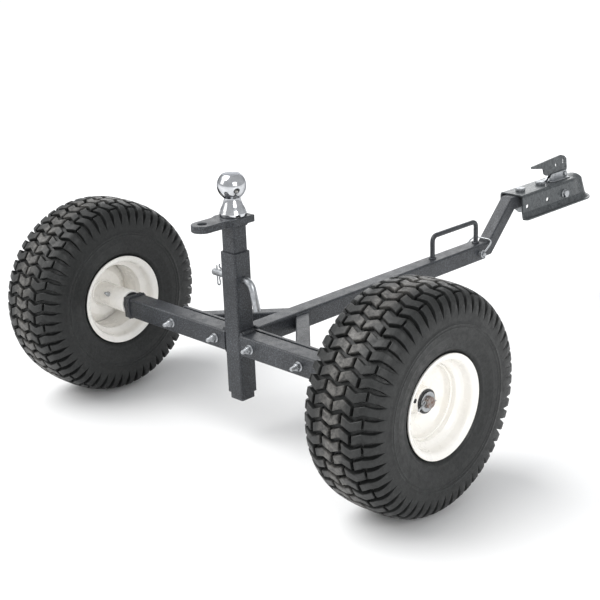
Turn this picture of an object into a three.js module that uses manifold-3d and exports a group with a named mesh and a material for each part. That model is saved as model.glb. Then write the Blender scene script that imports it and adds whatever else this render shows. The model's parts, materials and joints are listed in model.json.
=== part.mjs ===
// Two-wheeled trailer dolly with a height-adjustable hitch ball, a pinned drawbar and a ball coupler.
// Millimetres, +Z up, X along the axle, +Y from the axle towards the coupler. The pieces are laid out
// about the centre of the crossbar, then the whole group is set down on the ground plane.
import * as THREE from "three";
import { mergeVertices } from "three/addons/utils/BufferGeometryUtils.js";
import Module from "manifold-3d";

const wasm = await Module();
wasm.setup();

// ---- driving dimensions ----
const GAP = 0.3; // clearance left between pieces that touch
const FINE = 28; // facets round a large turned piece
const COARSE = 12; // facets round a pin, a bolt or a hole
const ROD_FACETS = 8; // facets round a bent bar

const BAR = 38.1; // crossbar and mast sleeve, square tube
const BAR_WALL = 2.875;
const BAR_CORNER = 4.5;
const BAR_END_X = 297.3; // inner face of the end plates
const PLATE_END_X = 307; // outer face of the end plates
const END_PLATE = 41;

const AXLE_R = 9.525; // 3/4 in stub axle
const AXLE_RISE = 4; // axle centre above the crossbar centre
const AXLE_IN_X = 240;
const AXLE_OUT_X = 440.6;
const AXLE_CHAMFER = 1.2;
const COTTER_X = 435.9;
const COTTER_R = 1.6;
const WASHER_R = 16.5;
const WASHER_T = 2.3;

const TRACK_HALF = 401; // wheel centre plane from the middle of the crossbar
const TYRE_R = 190.5; // 15 in tyre
const TYRE_HALF_W = 73;
const RIM_LIP_R = 86.6;
const HUB_R = 23;
const HUB_BORE_R = 14.3;
const HUB_IN = -90.4; // hub ends, from the wheel centre plane, outboard positive
const HUB_OUT = 27.5;
const BUSH_FLANGE_R = 20;
const BUSH_FLANGE_T = 2.5;
const BUSH_LENGTH = 28;
const ZERK_X = -46;
const ZERK_R = 3; // threaded foot of the grease nipple
const ZERK_ANGLE = 30; // degrees up from the direction across the wheel
const VALVE_ANGLE = 25; // degrees up from the direction across the wheel, on the other side
const VALVE_R = 4.6;
const VALVE_LENGTH = 18;

const MAST_TOP = 167.6;
const MAST_BOTTOM = -96.5;
const POST = 31.75;
const POST_WALL = 3.175;
const POST_BOTTOM = -109;
const BALL_PLATE_TOP = 231.5;
const BALL_PLATE_T = 12.7;
const BALL_Z = 284.5;
const BALL_R = 25.4; // 2 in ball
const BALL_FLAT_R = 15.5;
const BALL_NECK_R = 14.2;
const BALL_BASE_R = 23.5;
const BALL_SHANK_R = 9.525; // 3/4 in shank
const PLATE_HALF_W = 25.4;
const PLATE_BACK_Y = 27;
const SHOULDER_Y = -22; // where the ball plate starts to narrow
const EAR_SIDE_Y = -40; // where it has narrowed to the ear
const EAR_Y = -70.5; // middle of the ear and of its hole
const EAR_R = 19.5;
const EAR_HOLE_R = 8.2;
const PIN_Z = 118; // hitch pin through the sleeve
const PIN_R = 6.35;
const PIN_HOLE_R = 6.75;
const HOLE_PITCH = 25.4;
const POST_HOLES = 7;
const PIN_BEND = [50, 66]; // x and z of the bent end of the hitch pin
const CLIP_X = -51;
const CLIP_R = 1.3;

const FLANGE_HALF = 177.8; // flat bar that bolts the drawbar to the crossbar
const FLANGE_T = 6.35;
const FLANGE_HALF_H = 20;
const FLANGE_Y = BAR / 2 + GAP;
const BOLT_XS = [-167, -46, 46, 167];
const BOLT_R = 3.97; // 5/16 in
const BOLT_HEAD_H = 5.3;
const NUT_R = 7.33; // over the corners
const NUT_H = 9;
const NUT_FLANGE_R = 8.7;
const NUT_FLANGE_H = 2;
const BOLT_END_Y = -38;

const TONGUE = 36; // drawbar tube
const TONGUE_WALL = 3.4;
const TONGUE_Z = 2.2;
const TONGUE_START = FLANGE_Y + FLANGE_T + GAP;
const TONGUE_END = 700;
const BRACE = 25.4;
const BRACE_WALL = 2.6;
const BRACE_SUM = 159.5; // x + y along the centreline of the right-hand brace
const HANDLE_R = 5;
const HANDLE_Y = [542, 688];
const HANDLE_TOP = 68;
const LOCK_Y = 680; // wire-lock pin through drawbar and arm
const LOCK_R = 4.75;
const LOCK_HALF = 33;
const BAIL_R = 1.4;
const BAIL_ANGLE = 33; // degrees above the drawbar
const BAIL_REACH = 41;
const BAIL_X = 27;

const ARM = 28.6; // cranked arm tube
const ARM_WALL = 3;
const ARM_CORNER = 3.5;
const ARM_START = 560;
const ARM_END = 945;
const ARM_Z = 84;
const ELBOW_1 = 720.7;
const ELBOW_2 = ELBOW_1 + ARM_Z - TONGUE_Z; // the crank rises at 45 degrees

const COUPLER_START = 816;
const COUPLER_HALF_W = 30.5;
const COUPLER_TOP = 101.8;
const COUPLER_T = 3;
const FLANGE_Z = 47.5; // underside of the coupler's bottom flanges
const FLANGE_OUT = 43;
const FLARE_TOP = 63.5; // the sides lean outwards below this
const FLARE_OUT = 0.5; // for each millimetre down
const SOCKET_Y = 1051;
const SOCKET_Z = 73.5;
const COUPLER_BOLT_YS = [848, 924];
const COUPLER_BOLT_R = 6.35;
const COUPLER_HEX_R = 10.9;
const COUPLER_HEAD_H = 7;
const COUPLER_NUT_H = 11;
const SIDE_HOLE_YS = [834, 911];
const SIDE_HOLE_R = 5.5;
const CLAMP_Y = 976; // clamp pivot bolt
const CLAMP_Z = 75;
const CLAMP_BOLT_R = 5;
const CLAMP_HEX_R = 8.8;
const CLAMP_HEX_H = 8;
const CLAMP_FLANGE_R = 9.8;
const JAW_W = 44;
const JAW_ROOM = 0.8; // room between the ball and the clamp's hollow
const LEVER_Y = 1014; // latch lever pivot
const LEVER_Z = 110.5;
const LEVER_T = 4;
const LEVER_PIN_R = 3;
const LEVER_PIN_HALF = 8;
const EAR_T = 3; // ears of the latch bracket

const WHEEL_FACETS = 36;

const REAR_Y = -TYRE_R;
const NOSE_Y = SOCKET_Y + FLANGE_OUT;
const GROUND_Z = AXLE_RISE - TYRE_R;

// ---- solids ----
const AX = new THREE.Vector3(1, 0, 0);
const AY = new THREE.Vector3(0, 1, 0);
const AZ = new THREE.Vector3(0, 0, 1);

function flipped(triVerts) {
  const out = Uint32Array.from(triVerts);
  for (let i = 0; i < out.length; i += 3) {
    out[i + 1] = triVerts[i + 2];
    out[i + 2] = triVerts[i + 1];
  }
  return out;
}

// A closed three.js geometry as a manifold solid that faces outwards.
function solid(geometry) {
  const bare = geometry.clone();
  bare.deleteAttribute("normal");
  bare.deleteAttribute("uv");
  const merged = mergeVertices(bare, 1e-4);
  const vertProperties = Float32Array.from(merged.attributes.position.array);
  const triVerts = Uint32Array.from(merged.index.array);
  const made = new wasm.Manifold(new wasm.Mesh({ numProp: 3, vertProperties, triVerts }));
  if (made.volume() > 0) return made;
  return new wasm.Manifold(
    new wasm.Mesh({ numProp: 3, vertProperties, triVerts: flipped(triVerts) }),
  );
}

function geometryOf(manifold) {
  const mesh = manifold.getMesh();
  const geometry = new THREE.BufferGeometry();
  geometry.setAttribute("position", new THREE.BufferAttribute(mesh.vertProperties, 3));
  geometry.setIndex(new THREE.BufferAttribute(mesh.triVerts, 1));
  const flat = geometry.toNonIndexed();
  flat.computeVertexNormals();
  return flat;
}

function join(...solids) {
  return solids.reduce((all, one) => all.add(one));
}

function cut(body, ...tools) {
  return tools.reduce((left, tool) => left.subtract(tool), body);
}

function rectangle(w, h, corner) {
  const x = w / 2;
  const y = h / 2;
  const shape = new THREE.Shape();
  shape.moveTo(-x + corner, -y);
  shape.absarc(x - corner, -y + corner, corner, -Math.PI / 2, 0, false);
  shape.absarc(x - corner, y - corner, corner, 0, Math.PI / 2, false);
  shape.absarc(-x + corner, y - corner, corner, Math.PI / 2, Math.PI, false);
  shape.absarc(-x + corner, -y + corner, corner, Math.PI, 1.5 * Math.PI, false);
  return shape;
}

function extrude(shape, depth, options = {}) {
  return new THREE.ExtrudeGeometry(shape, {
    depth,
    bevelEnabled: false,
    curveSegments: 3,
    ...options,
  });
}

// Turns a geometry built along +Z so that it runs along the given direction, then moves it.
function along(geometry, direction, at) {
  const turn = new THREE.Quaternion().setFromUnitVectors(AZ, direction.clone().normalize());
  return geometry.applyQuaternion(turn).translate(...at);
}

// A square tube from one point to another along X, Y or Z, faces square to the axes.
function squareTube(size, wall, corner, axis, from, to, at) {
  const outer = rectangle(size, size, corner);
  const bore = rectangle(size - 2 * wall, size - 2 * wall, Math.max(corner - wall, 0.8));
  outer.holes.push(bore);
  const geometry = extrude(outer, to - from);
  return solid(along(geometry.translate(0, 0, from), axis, at));
}

function rod(radius, axis, from, to, at, facets = COARSE) {
  const geometry = new THREE.CylinderGeometry(radius, radius, to - from, facets);
  geometry.rotateX(Math.PI / 2).translate(0, 0, (from + to) / 2);
  return solid(along(geometry, axis, at));
}

function box(x, y, z) {
  const geometry = new THREE.BoxGeometry(x[1] - x[0], y[1] - y[0], z[1] - z[0]);
  geometry.translate((x[0] + x[1]) / 2, (y[0] + y[1]) / 2, (z[0] + z[1]) / 2);
  return solid(geometry);
}

// Revolves [axial, radius] points about an axis; the loop is closed here unless it starts on the axis.
function turned(points, axis, at, facets = FINE) {
  const onAxis = points[0][1] === 0;
  const loop = onAxis ? points : [...points, points[0]];
  const profile = loop.map(([axial, radius]) => new THREE.Vector2(radius, axial));
  const geometry = new THREE.LatheGeometry(profile, facets).rotateX(Math.PI / 2);
  return solid(along(geometry, axis, at));
}

// A round bar through the corner points, each corner rounded off by a bend.
function bentRod(radius, points, bend, steps) {
  const corners = points.map((p) => new THREE.Vector3(...p));
  const path = new THREE.CurvePath();
  let start = corners[0];
  for (let i = 1; i < corners.length - 1; i++) {
    const back = corners[i - 1].clone().sub(corners[i]).normalize();
    const on = corners[i + 1].clone().sub(corners[i]).normalize();
    const enter = corners[i].clone().addScaledVector(back, bend);
    const leave = corners[i].clone().addScaledVector(on, bend);
    path.add(new THREE.LineCurve3(start, enter));
    path.add(new THREE.QuadraticBezierCurve3(enter, corners[i], leave));
    start = leave;
  }
  path.add(new THREE.LineCurve3(start, corners[corners.length - 1]));
  const section = new THREE.Shape().absarc(0, 0, radius, 0, 2 * Math.PI, false);
  return solid(extrude(section, 1, { steps, extrudePath: path, curveSegments: ROD_FACETS / 2 }));
}

// A flat outline of [y, z] points, thick across X and centred on the given x.
function sidePlate(points, thickness, x = 0) {
  const shape = new THREE.Shape(points.map(([y, z]) => new THREE.Vector2(y, z)));
  const geometry = extrude(shape, thickness).translate(0, 0, -thickness / 2);
  const basis = new THREE.Matrix4().makeBasis(AY, AZ, AX);
  return solid(geometry.applyMatrix4(basis).translate(x, 0, 0));
}

function arcPoints(cx, cy, radius, from, to, steps) {
  return Array.from({ length: steps + 1 }, (_, i) => {
    const angle = THREE.MathUtils.degToRad(from + ((to - from) * i) / steps);
    return [cx + radius * Math.cos(angle), cy + radius * Math.sin(angle)];
  });
}

// ---- finishes ----
const FINISH = {
  frame: { color: 0x4a4c50, roughness: 0.55, metalness: 0.3 },
  coupler: { color: 0x5a5c60, roughness: 0.42, metalness: 0.7 },
  rim: { color: 0xefece4, roughness: 0.3, metalness: 0.05 },
  tyre: { color: 0x232323, roughness: 0.85, metalness: 0 },
  zinc: { color: 0xc3c6c9, roughness: 0.35, metalness: 0.9 },
  chrome: { color: 0xe2e4e6, roughness: 0.08, metalness: 1 },
  steel: { color: 0x8c8480, roughness: 0.5, metalness: 0.85 },
  black: { color: 0x1b1b1c, roughness: 0.5, metalness: 0.1 },
};

const part = new THREE.Group();
part.name = "trailer_dolly";
part.position.set(0, -(REAR_Y + NOSE_Y) / 2, -GROUND_Z);

function piece(name, body, finish, parent = part) {
  const mesh = new THREE.Mesh(geometryOf(body), new THREE.MeshStandardMaterial(FINISH[finish]));
  mesh.name = name;
  parent.add(mesh);
}

// ---- crossbar, mast sleeve, end plates and stub axles ----
const SIDES = [
  ["left", -1],
  ["right", 1],
];

for (const [side, s] of SIDES) {
  const span = [BAR / 2 + GAP, BAR_END_X - GAP];
  const [from, to] = s > 0 ? span : [-span[1], -span[0]];
  const tube = squareTube(BAR, BAR_WALL, BAR_CORNER, AX, from, to, [0, 0, 0]);
  const holes = BOLT_XS.filter((x) => x * s > 0).map((x) =>
    rod(BOLT_R + GAP, AY, -BAR, BAR, [x, 0, 0]),
  );
  piece("crossbar_" + side, cut(tube, ...holes), "frame");

  const plateX = s > 0 ? [BAR_END_X, PLATE_END_X] : [-PLATE_END_X, -BAR_END_X];
  const half = END_PLATE / 2;
  const plate = box(plateX, [-half, half], [-half, half]);
  const axleHole = rod(AXLE_R + GAP, AX, -PLATE_END_X - 1, PLATE_END_X + 1, [0, 0, AXLE_RISE], FINE);
  piece("end_plate_" + side, cut(plate, axleHole), "frame");

  const axle = turned(
    [
      [AXLE_IN_X, 0],
      [AXLE_IN_X, AXLE_R],
      [AXLE_OUT_X - AXLE_CHAMFER, AXLE_R],
      [AXLE_OUT_X, AXLE_R - AXLE_CHAMFER],
      [AXLE_OUT_X, 0],
    ],
    AX.clone().multiplyScalar(s),
    [0, 0, AXLE_RISE],
  );
  const cotterHole = rod(COTTER_R + GAP, AY, -BAR, BAR, [s * COTTER_X, 0, AXLE_RISE]);
  piece("stub_axle_" + side, cut(axle, cotterHole), "steel");
}

const sleeve = squareTube(BAR, BAR_WALL, BAR_CORNER, AZ, MAST_BOTTOM, MAST_TOP, [0, 0, 0]);
piece("mast_sleeve", cut(sleeve, rod(PIN_HOLE_R, AX, -BAR, BAR, [0, 0, PIN_Z])), "frame");

// ---- ball post ----
const postTop = BALL_PLATE_TOP - BALL_PLATE_T - GAP;
const postTube = squareTube(POST, POST_WALL, BAR_CORNER - 1, AZ, POST_BOTTOM, postTop, [0, 0, 0]);
const postHoles = Array.from({ length: POST_HOLES }, (_, i) =>
  rod(PIN_HOLE_R, AX, -BAR, BAR, [0, 0, PIN_Z - i * HOLE_PITCH]),
);
piece("ball_post", cut(postTube, ...postHoles), "frame");

const plateShape = new THREE.Shape();
plateShape.moveTo(-PLATE_HALF_W, PLATE_BACK_Y);
plateShape.lineTo(-PLATE_HALF_W, SHOULDER_Y);
plateShape.quadraticCurveTo(-EAR_R, SHOULDER_Y - 4, -EAR_R, EAR_SIDE_Y);
plateShape.lineTo(-EAR_R, EAR_Y);
plateShape.absarc(0, EAR_Y, EAR_R, Math.PI, 2 * Math.PI, false);
plateShape.lineTo(EAR_R, EAR_SIDE_Y);
plateShape.quadraticCurveTo(EAR_R, SHOULDER_Y - 4, PLATE_HALF_W, SHOULDER_Y);
plateShape.lineTo(PLATE_HALF_W, PLATE_BACK_Y);
const plateFoot = BALL_PLATE_TOP - BALL_PLATE_T;
const plateBody = solid(
  extrude(plateShape, BALL_PLATE_T, { curveSegments: 10 }).translate(0, 0, plateFoot),
);
piece(
  "ball_plate",
  cut(
    plateBody,
    rod(BALL_SHANK_R + GAP, AZ, 0, BALL_Z, [0, 0, 0], FINE),
    rod(EAR_HOLE_R, AZ, 0, BALL_Z, [0, EAR_Y, 0], FINE),
  ),
  "frame",
);

const ballFlat = Math.sqrt(BALL_R ** 2 - BALL_FLAT_R ** 2);
const baseZ = BALL_PLATE_TOP + GAP;
const ballStart = -THREE.MathUtils.radToDeg(Math.acos(BALL_NECK_R / BALL_R));
const ballStop = THREE.MathUtils.radToDeg(Math.asin(ballFlat / BALL_R));
const sphereArc = arcPoints(0, BALL_Z, BALL_R, ballStart, ballStop, 8).map(([r, z]) => [z, r]);
piece(
  "hitch_ball",
  turned(
    [
      [plateFoot - 10, 0],
      [plateFoot - 10, BALL_SHANK_R],
      [baseZ, BALL_SHANK_R],
      [baseZ, BALL_BASE_R],
      [baseZ + 5.5, BALL_BASE_R],
      [baseZ + 13, 21.8],
      [baseZ + 18, 18.2],
      [baseZ + 24, 16.2],
      [baseZ + 29, BALL_NECK_R],
      ...sphereArc,
      [BALL_Z + ballFlat, 0],
    ],
    AZ,
    [0, 0, 0],
  ),
  "chrome",
);

// ---- bent hitch pin and its clip ----
const hitchPin = bentRod(
  PIN_R,
  [
    [-60, 0, PIN_Z],
    [37, 0, PIN_Z],
    [PIN_BEND[0], 0, PIN_BEND[1]],
  ],
  14,
  28,
);
piece("hitch_pin", cut(hitchPin, rod(CLIP_R + GAP, AZ, 0, BALL_Z, [CLIP_X, 0, 0], 12)), "zinc");

const clipBow = PIN_R + CLIP_R + GAP + 2; // how far out the clip bows to pass round the pin
piece(
  "hitch_pin_clip",
  bentRod(
    CLIP_R,
    [
      [CLIP_X, 0, PIN_Z + 13],
      [CLIP_X, 0, PIN_Z - 24],
      [CLIP_X, 7, PIN_Z - 24],
      [CLIP_X, 4.5, PIN_Z - 12],
      [CLIP_X, clipBow, PIN_Z - 3],
      [CLIP_X, clipBow, PIN_Z + 4],
      [CLIP_X, 6, PIN_Z + 14],
    ],
    2.6,
    28,
  ),
  "zinc",
);

// ---- bolted flange bar, its bolts and nuts ----
const flangeBar = box(
  [-FLANGE_HALF, FLANGE_HALF],
  [FLANGE_Y, FLANGE_Y + FLANGE_T],
  [-FLANGE_HALF_H, FLANGE_HALF_H],
);
const flangeHoles = BOLT_XS.map((x) => rod(BOLT_R + GAP, AY, 0, BAR, [x, 0, 0]));
piece("flange_bar", cut(flangeBar, ...flangeHoles), "frame");

BOLT_XS.forEach((x, i) => {
  const headY = FLANGE_Y + FLANGE_T + GAP;
  const head = rod(NUT_R, AY, headY, headY + BOLT_HEAD_H, [x, 0, 0], 6);
  const shank = rod(BOLT_R, AY, BOLT_END_Y, headY + 1, [x, 0, 0]);
  piece("frame_bolt_" + (i + 1), join(head, shank), "zinc");

  const nutY = -BAR / 2 - GAP;
  const hex = rod(NUT_R, AY, nutY - NUT_H, nutY - 1, [x, 0, 0], 6);
  const skirt = rod(NUT_FLANGE_R, AY, nutY - NUT_FLANGE_H, nutY, [x, 0, 0]);
  const thread = rod(BOLT_R + GAP, AY, -BAR, 0, [x, 0, 0]);
  piece("frame_nut_" + (i + 1), cut(join(hex, skirt), thread), "zinc");
});

// ---- drawbar tube, braces and lift handle ----
const tongueAt = [0, 0, TONGUE_Z];
const tongue = squareTube(
  TONGUE,
  TONGUE_WALL,
  BAR_CORNER,
  AY,
  TONGUE_START,
  TONGUE_END,
  tongueAt,
);
const lockHole = rod(LOCK_R + GAP, AX, -BAR, BAR, [0, LOCK_Y, TONGUE_Z]);
piece("drawbar_tube", cut(tongue, lockHole), "frame");

for (const [side, s] of SIDES) {
  const direction = new THREE.Vector3(-s, 1, 0);
  const middle = new THREE.Vector3((s * BRACE_SUM) / 2, BRACE_SUM / 2, TONGUE_Z);
  const shape = rectangle(BRACE, BRACE, 3.2);
  shape.holes.push(rectangle(BRACE - 2 * BRACE_WALL, BRACE - 2 * BRACE_WALL, 0.8));
  const bar = extrude(shape, 2 * BRACE_SUM).translate(0, 0, -BRACE_SUM);
  bar.rotateX(-Math.PI / 2).rotateZ((s * Math.PI) / 4);
  const long = solid(bar.translate(...middle));
  const pastTongue = TONGUE / 2 + GAP;
  const tongueSide = box(
    s > 0 ? [-BRACE_SUM * 2, pastTongue] : [-pastTongue, BRACE_SUM * 2],
    [-BRACE_SUM * 2, BRACE_SUM * 3],
    [-BAR, BAR],
  );
  const flangeSide = box(
    [-BRACE_SUM * 3, BRACE_SUM * 3],
    [-BRACE_SUM * 3, TONGUE_START],
    [-BAR, BAR],
  );
  piece("brace_" + side, cut(long, tongueSide, flangeSide), "frame");
}

const handleFoot = TONGUE_Z + TONGUE / 2 + GAP;
piece(
  "lift_handle",
  bentRod(
    HANDLE_R,
    [
      [0, HANDLE_Y[0], handleFoot],
      [0, HANDLE_Y[0], HANDLE_TOP],
      [0, HANDLE_Y[1], HANDLE_TOP],
      [0, HANDLE_Y[1], handleFoot],
    ],
    13,
    36,
  ),
  "frame",
);

// ---- cranked arm ----
// Side outline of the crank, a given distance either side of the centreline.
function crankOutline(half, start, end) {
  const mitre = half * Math.tan(Math.PI / 8);
  return [
    [start, TONGUE_Z - half],
    [ELBOW_1 + mitre, TONGUE_Z - half],
    [ELBOW_2 + mitre, ARM_Z - half],
    [end, ARM_Z - half],
    [end, ARM_Z + half],
    [ELBOW_2 - mitre, ARM_Z + half],
    [ELBOW_1 - mitre, TONGUE_Z + half],
    [start, TONGUE_Z + half],
  ];
}

const crankShape = new THREE.Shape(
  crankOutline(ARM / 2, ARM_START, ARM_END).map(([y, z]) => new THREE.Vector2(y, z)),
);
const crankOuter = solid(
  extrude(crankShape, ARM - 2 * ARM_CORNER, {
    bevelEnabled: true,
    bevelThickness: ARM_CORNER,
    bevelSize: ARM_CORNER,
    bevelOffset: -ARM_CORNER,
    bevelSegments: 2,
  })
    .translate(0, 0, -(ARM / 2 - ARM_CORNER))
    .applyMatrix4(new THREE.Matrix4().makeBasis(AY, AZ, AX)),
);
const crankBore = sidePlate(
  crankOutline(ARM / 2 - ARM_WALL, ARM_START - 20, ARM_END + 20),
  ARM - 2 * ARM_WALL,
);
const armBolts = COUPLER_BOLT_YS.map((y) =>
  rod(COUPLER_BOLT_R + GAP, AZ, 0, 2 * ARM_Z, [0, y, 0]),
);
piece("crank_arm", cut(crankOuter, crankBore, lockHole, ...armBolts), "frame");

// ---- wire-lock pin and bail ----
const lockAt = [0, LOCK_Y, TONGUE_Z];
piece(
  "lock_pin",
  turned(
    [
      [-LOCK_HALF, 0],
      [-LOCK_HALF, LOCK_R + 2],
      [-LOCK_HALF + 3, LOCK_R + 2],
      [-LOCK_HALF + 4, LOCK_R],
      [LOCK_HALF - 3, LOCK_R],
      [LOCK_HALF, LOCK_R - 2.5],
      [LOCK_HALF, 0],
    ],
    AX,
    lockAt,
    COARSE,
  ),
  "zinc",
);

// The bail is built lying along +Y from the pin, then raised to its resting angle.
const eye = (x) =>
  turned(
    [
      [-BAIL_R, LOCK_R + GAP],
      [BAIL_R, LOCK_R + GAP],
      [BAIL_R, LOCK_R + GAP + 2 * BAIL_R],
      [-BAIL_R, LOCK_R + GAP + 2 * BAIL_R],
    ],
    AX,
    [x, 0, 0],
    COARSE,
  );
const arch = bentRod(
  BAIL_R,
  [
    [-BAIL_X, LOCK_R + BAIL_R, 0],
    [-BAIL_X, BAIL_REACH, 0],
    [BAIL_X, BAIL_REACH, 0],
    [BAIL_X, LOCK_R + BAIL_R, 0],
  ],
  16,
  26,
);
const raise = new THREE.Group();
raise.position.set(...lockAt);
raise.rotation.x = THREE.MathUtils.degToRad(BAIL_ANGLE);
part.add(raise);
piece("lock_bail", join(eye(-BAIL_X), eye(BAIL_X), arch), "zinc", raise);

// ---- coupler ----
function domeProfile(radius, floor) {
  const arc = arcPoints(0, SOCKET_Z, radius, 0, 90, 8).map(([r, z]) => [z, r]);
  arc[arc.length - 1][1] = 0;
  return [[floor, 0], [floor, radius], ...arc];
}

// The channel's cross-section across X, rounded over at its top edges, swept along Y.
function channelSolid(half, top, bottom, corner, start) {
  const shape = new THREE.Shape();
  shape.moveTo(-half, bottom);
  shape.lineTo(half, bottom);
  shape.absarc(half - corner, top - corner, corner, 0, Math.PI / 2, false);
  shape.absarc(-half + corner, top - corner, corner, Math.PI / 2, Math.PI, false);
  const geometry = extrude(shape, SOCKET_Y - start);
  return solid(geometry.rotateX(Math.PI / 2).translate(0, SOCKET_Y, 0));
}

// The lower part of the coupler's sides, leaning outwards along the channel and round the nose.
function flareSolid(half, bottom, start) {
  const foot = half + FLARE_OUT * (FLARE_TOP - bottom);
  const shape = new THREE.Shape();
  shape.moveTo(-foot, bottom);
  shape.lineTo(foot, bottom);
  shape.lineTo(half, FLARE_TOP);
  shape.lineTo(-half, FLARE_TOP);
  const run = extrude(shape, SOCKET_Y - start).rotateX(Math.PI / 2).translate(0, SOCKET_Y, 0);
  const cone = [
    [bottom, 0],
    [bottom, foot],
    [FLARE_TOP, half],
    [FLARE_TOP, 0],
  ];
  return join(solid(run), turned(cone, AZ, socketAt));
}

const socketAt = [0, SOCKET_Y, 0];
const domeR = COUPLER_HALF_W;
const outerShell = join(
  channelSolid(COUPLER_HALF_W, COUPLER_TOP, FLANGE_Z, 5, COUPLER_START),
  turned(domeProfile(domeR, FLANGE_Z), AZ, socketAt),
  flareSolid(COUPLER_HALF_W, FLANGE_Z, COUPLER_START + FLARE_OUT),
);
const flangeShape = new THREE.Shape();
flangeShape.moveTo(-FLANGE_OUT, COUPLER_START + 8);
flangeShape.absarc(-FLANGE_OUT + 8, COUPLER_START + 8, 8, Math.PI, 1.5 * Math.PI, false);
flangeShape.absarc(FLANGE_OUT - 8, COUPLER_START + 8, 8, 1.5 * Math.PI, 2 * Math.PI, false);
flangeShape.absarc(0, SOCKET_Y, FLANGE_OUT, 0, Math.PI, false);
const bottomFlange = solid(
  extrude(flangeShape, COUPLER_T, { curveSegments: 8 }).translate(0, 0, FLANGE_Z),
);
const innerShell = join(
  channelSolid(
    COUPLER_HALF_W - COUPLER_T,
    COUPLER_TOP - COUPLER_T,
    FLANGE_Z - 10,
    2.5,
    COUPLER_START - 10,
  ),
  turned(domeProfile(domeR - COUPLER_T, FLANGE_Z - 10), AZ, socketAt),
  flareSolid(COUPLER_HALF_W - COUPLER_T, FLANGE_Z - 1, COUPLER_START - 10),
);
const sideHoles = SIDE_HOLE_YS.map((y) =>
  rod(SIDE_HOLE_R, AX, -FLANGE_OUT, FLANGE_OUT, [0, y, CLAMP_Z]),
);
piece(
  "coupler_body",
  cut(
    join(outerShell, bottomFlange),
    innerShell,
    ...armBolts,
    ...sideHoles,
    rod(CLAMP_BOLT_R + GAP, AX, -FLANGE_OUT, FLANGE_OUT, [0, CLAMP_Y, CLAMP_Z]),
  ),
  "coupler",
);

COUPLER_BOLT_YS.forEach((y, i) => {
  const headZ = COUPLER_TOP + GAP;
  const nutZ = ARM_Z - ARM / 2 - GAP;
  const head = rod(COUPLER_HEX_R, AZ, headZ, headZ + COUPLER_HEAD_H, [0, y, 0], 6);
  const shank = rod(COUPLER_BOLT_R, AZ, nutZ - COUPLER_NUT_H - 4, headZ + 1, [0, y, 0]);
  piece("coupler_bolt_" + (i + 1), join(head, shank), "zinc");
  const nut = rod(COUPLER_HEX_R, AZ, nutZ - COUPLER_NUT_H, nutZ, [0, y, 0], 6);
  const thread = rod(COUPLER_BOLT_R + GAP, AZ, 0, 2 * ARM_Z, [0, y, 0]);
  piece("coupler_nut_" + (i + 1), cut(nut, thread), "zinc");
});

const clampAt = [0, CLAMP_Y, CLAMP_Z];
const clampSide = COUPLER_HALF_W + GAP;
piece(
  "clamp_bolt",
  join(
    rod(CLAMP_BOLT_R, AX, -clampSide - 12, clampSide + 1, clampAt),
    rod(CLAMP_FLANGE_R, AX, clampSide, clampSide + 2.2, clampAt),
    rod(CLAMP_HEX_R, AX, clampSide + 1, clampSide + CLAMP_HEX_H, clampAt, 6),
  ),
  "zinc",
);
piece(
  "clamp_nut",
  cut(
    rod(CLAMP_HEX_R, AX, -clampSide - CLAMP_HEX_H, -clampSide, clampAt, 6),
    rod(CLAMP_BOLT_R + GAP, AX, -FLANGE_OUT - 20, FLANGE_OUT, clampAt),
  ),
  "zinc",
);

// Ball clamp: a block hung on the clamp bolt, hollowed to the ball behind and below its middle.
const jawOutline = [
  ...arcPoints(CLAMP_Y, CLAMP_Z, 9, 80, 260, 8),
  [1012, 51],
  [1033, 51],
  [1033, 60],
  [1012, 84],
];
const jaw = sidePlate(jawOutline, JAW_W);
const ballSphere = new THREE.SphereGeometry(BALL_R + JAW_ROOM, FINE, 16);
const ballRoom = solid(ballSphere.translate(0, SOCKET_Y, SOCKET_Z));
piece("ball_clamp", cut(jaw, ballRoom, rod(CLAMP_BOLT_R + GAP, AX, -BAR, BAR, clampAt)), "coupler");

// Latch bracket: two ears on a base, with the lever pinned between them.
const earInner = LEVER_T / 2 + GAP;
const earOutline = [
  [950, COUPLER_TOP + GAP],
  [LEVER_Y + 8, COUPLER_TOP + GAP],
  [LEVER_Y + 8, LEVER_Z + 4],
  [LEVER_Y + 4, LEVER_Z + 8],
  [962, LEVER_Z + 8],
  [950, COUPLER_TOP + 6],
];
const ears = [-1, 1].map((s) => sidePlate(earOutline, EAR_T, s * (earInner + EAR_T / 2)));
const base = box(
  [-16, 16],
  [952, LEVER_Y + 6],
  [COUPLER_TOP + GAP, COUPLER_TOP + GAP + 2],
);
const leverPinHole = rod(LEVER_PIN_R + GAP, AX, -BAR, BAR, [0, LEVER_Y, LEVER_Z]);
piece("latch_bracket", cut(join(...ears, base), leverPinHole), "zinc");
piece(
  "latch_pin",
  rod(LEVER_PIN_R, AX, -LEVER_PIN_HALF, LEVER_PIN_HALF, [0, LEVER_Y, LEVER_Z]),
  "zinc",
);

const leverOutline = [
  [887, 148],
  [888, 143.5],
  [893, 142.4],
  [933, 135.4],
  [937, 122],
  [945.6, 117.2],
  [980, 110],
  ...arcPoints(LEVER_Y, LEVER_Z, 6.2, 255, 350, 5),
  [1027, 119],
  [1024, 143.7],
  [1015.4, 151],
  [1001.8, 155.3],
];
const leverHole = (y, z, radius) => rod(radius, AX, -BAR, BAR, [0, y, z]);
piece(
  "latch_lever",
  cut(
    sidePlate(leverOutline, LEVER_T),
    leverPinHole,
    leverHole(983, 135, 4.2),
    leverHole(1011.5, 136.5, 3.6),
    leverHole(1011.5, 141.5, 3.6),
    leverHole(1018.7, 124, 2.6),
  ),
  "coupler",
);

// ---- wheels ----
// Profile points are [outboard from the wheel centre plane, radius].
const opposite = (points) => points.map(([x, r]) => [-x, r]);
const backwards = (points) => [...points].reverse();

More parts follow.
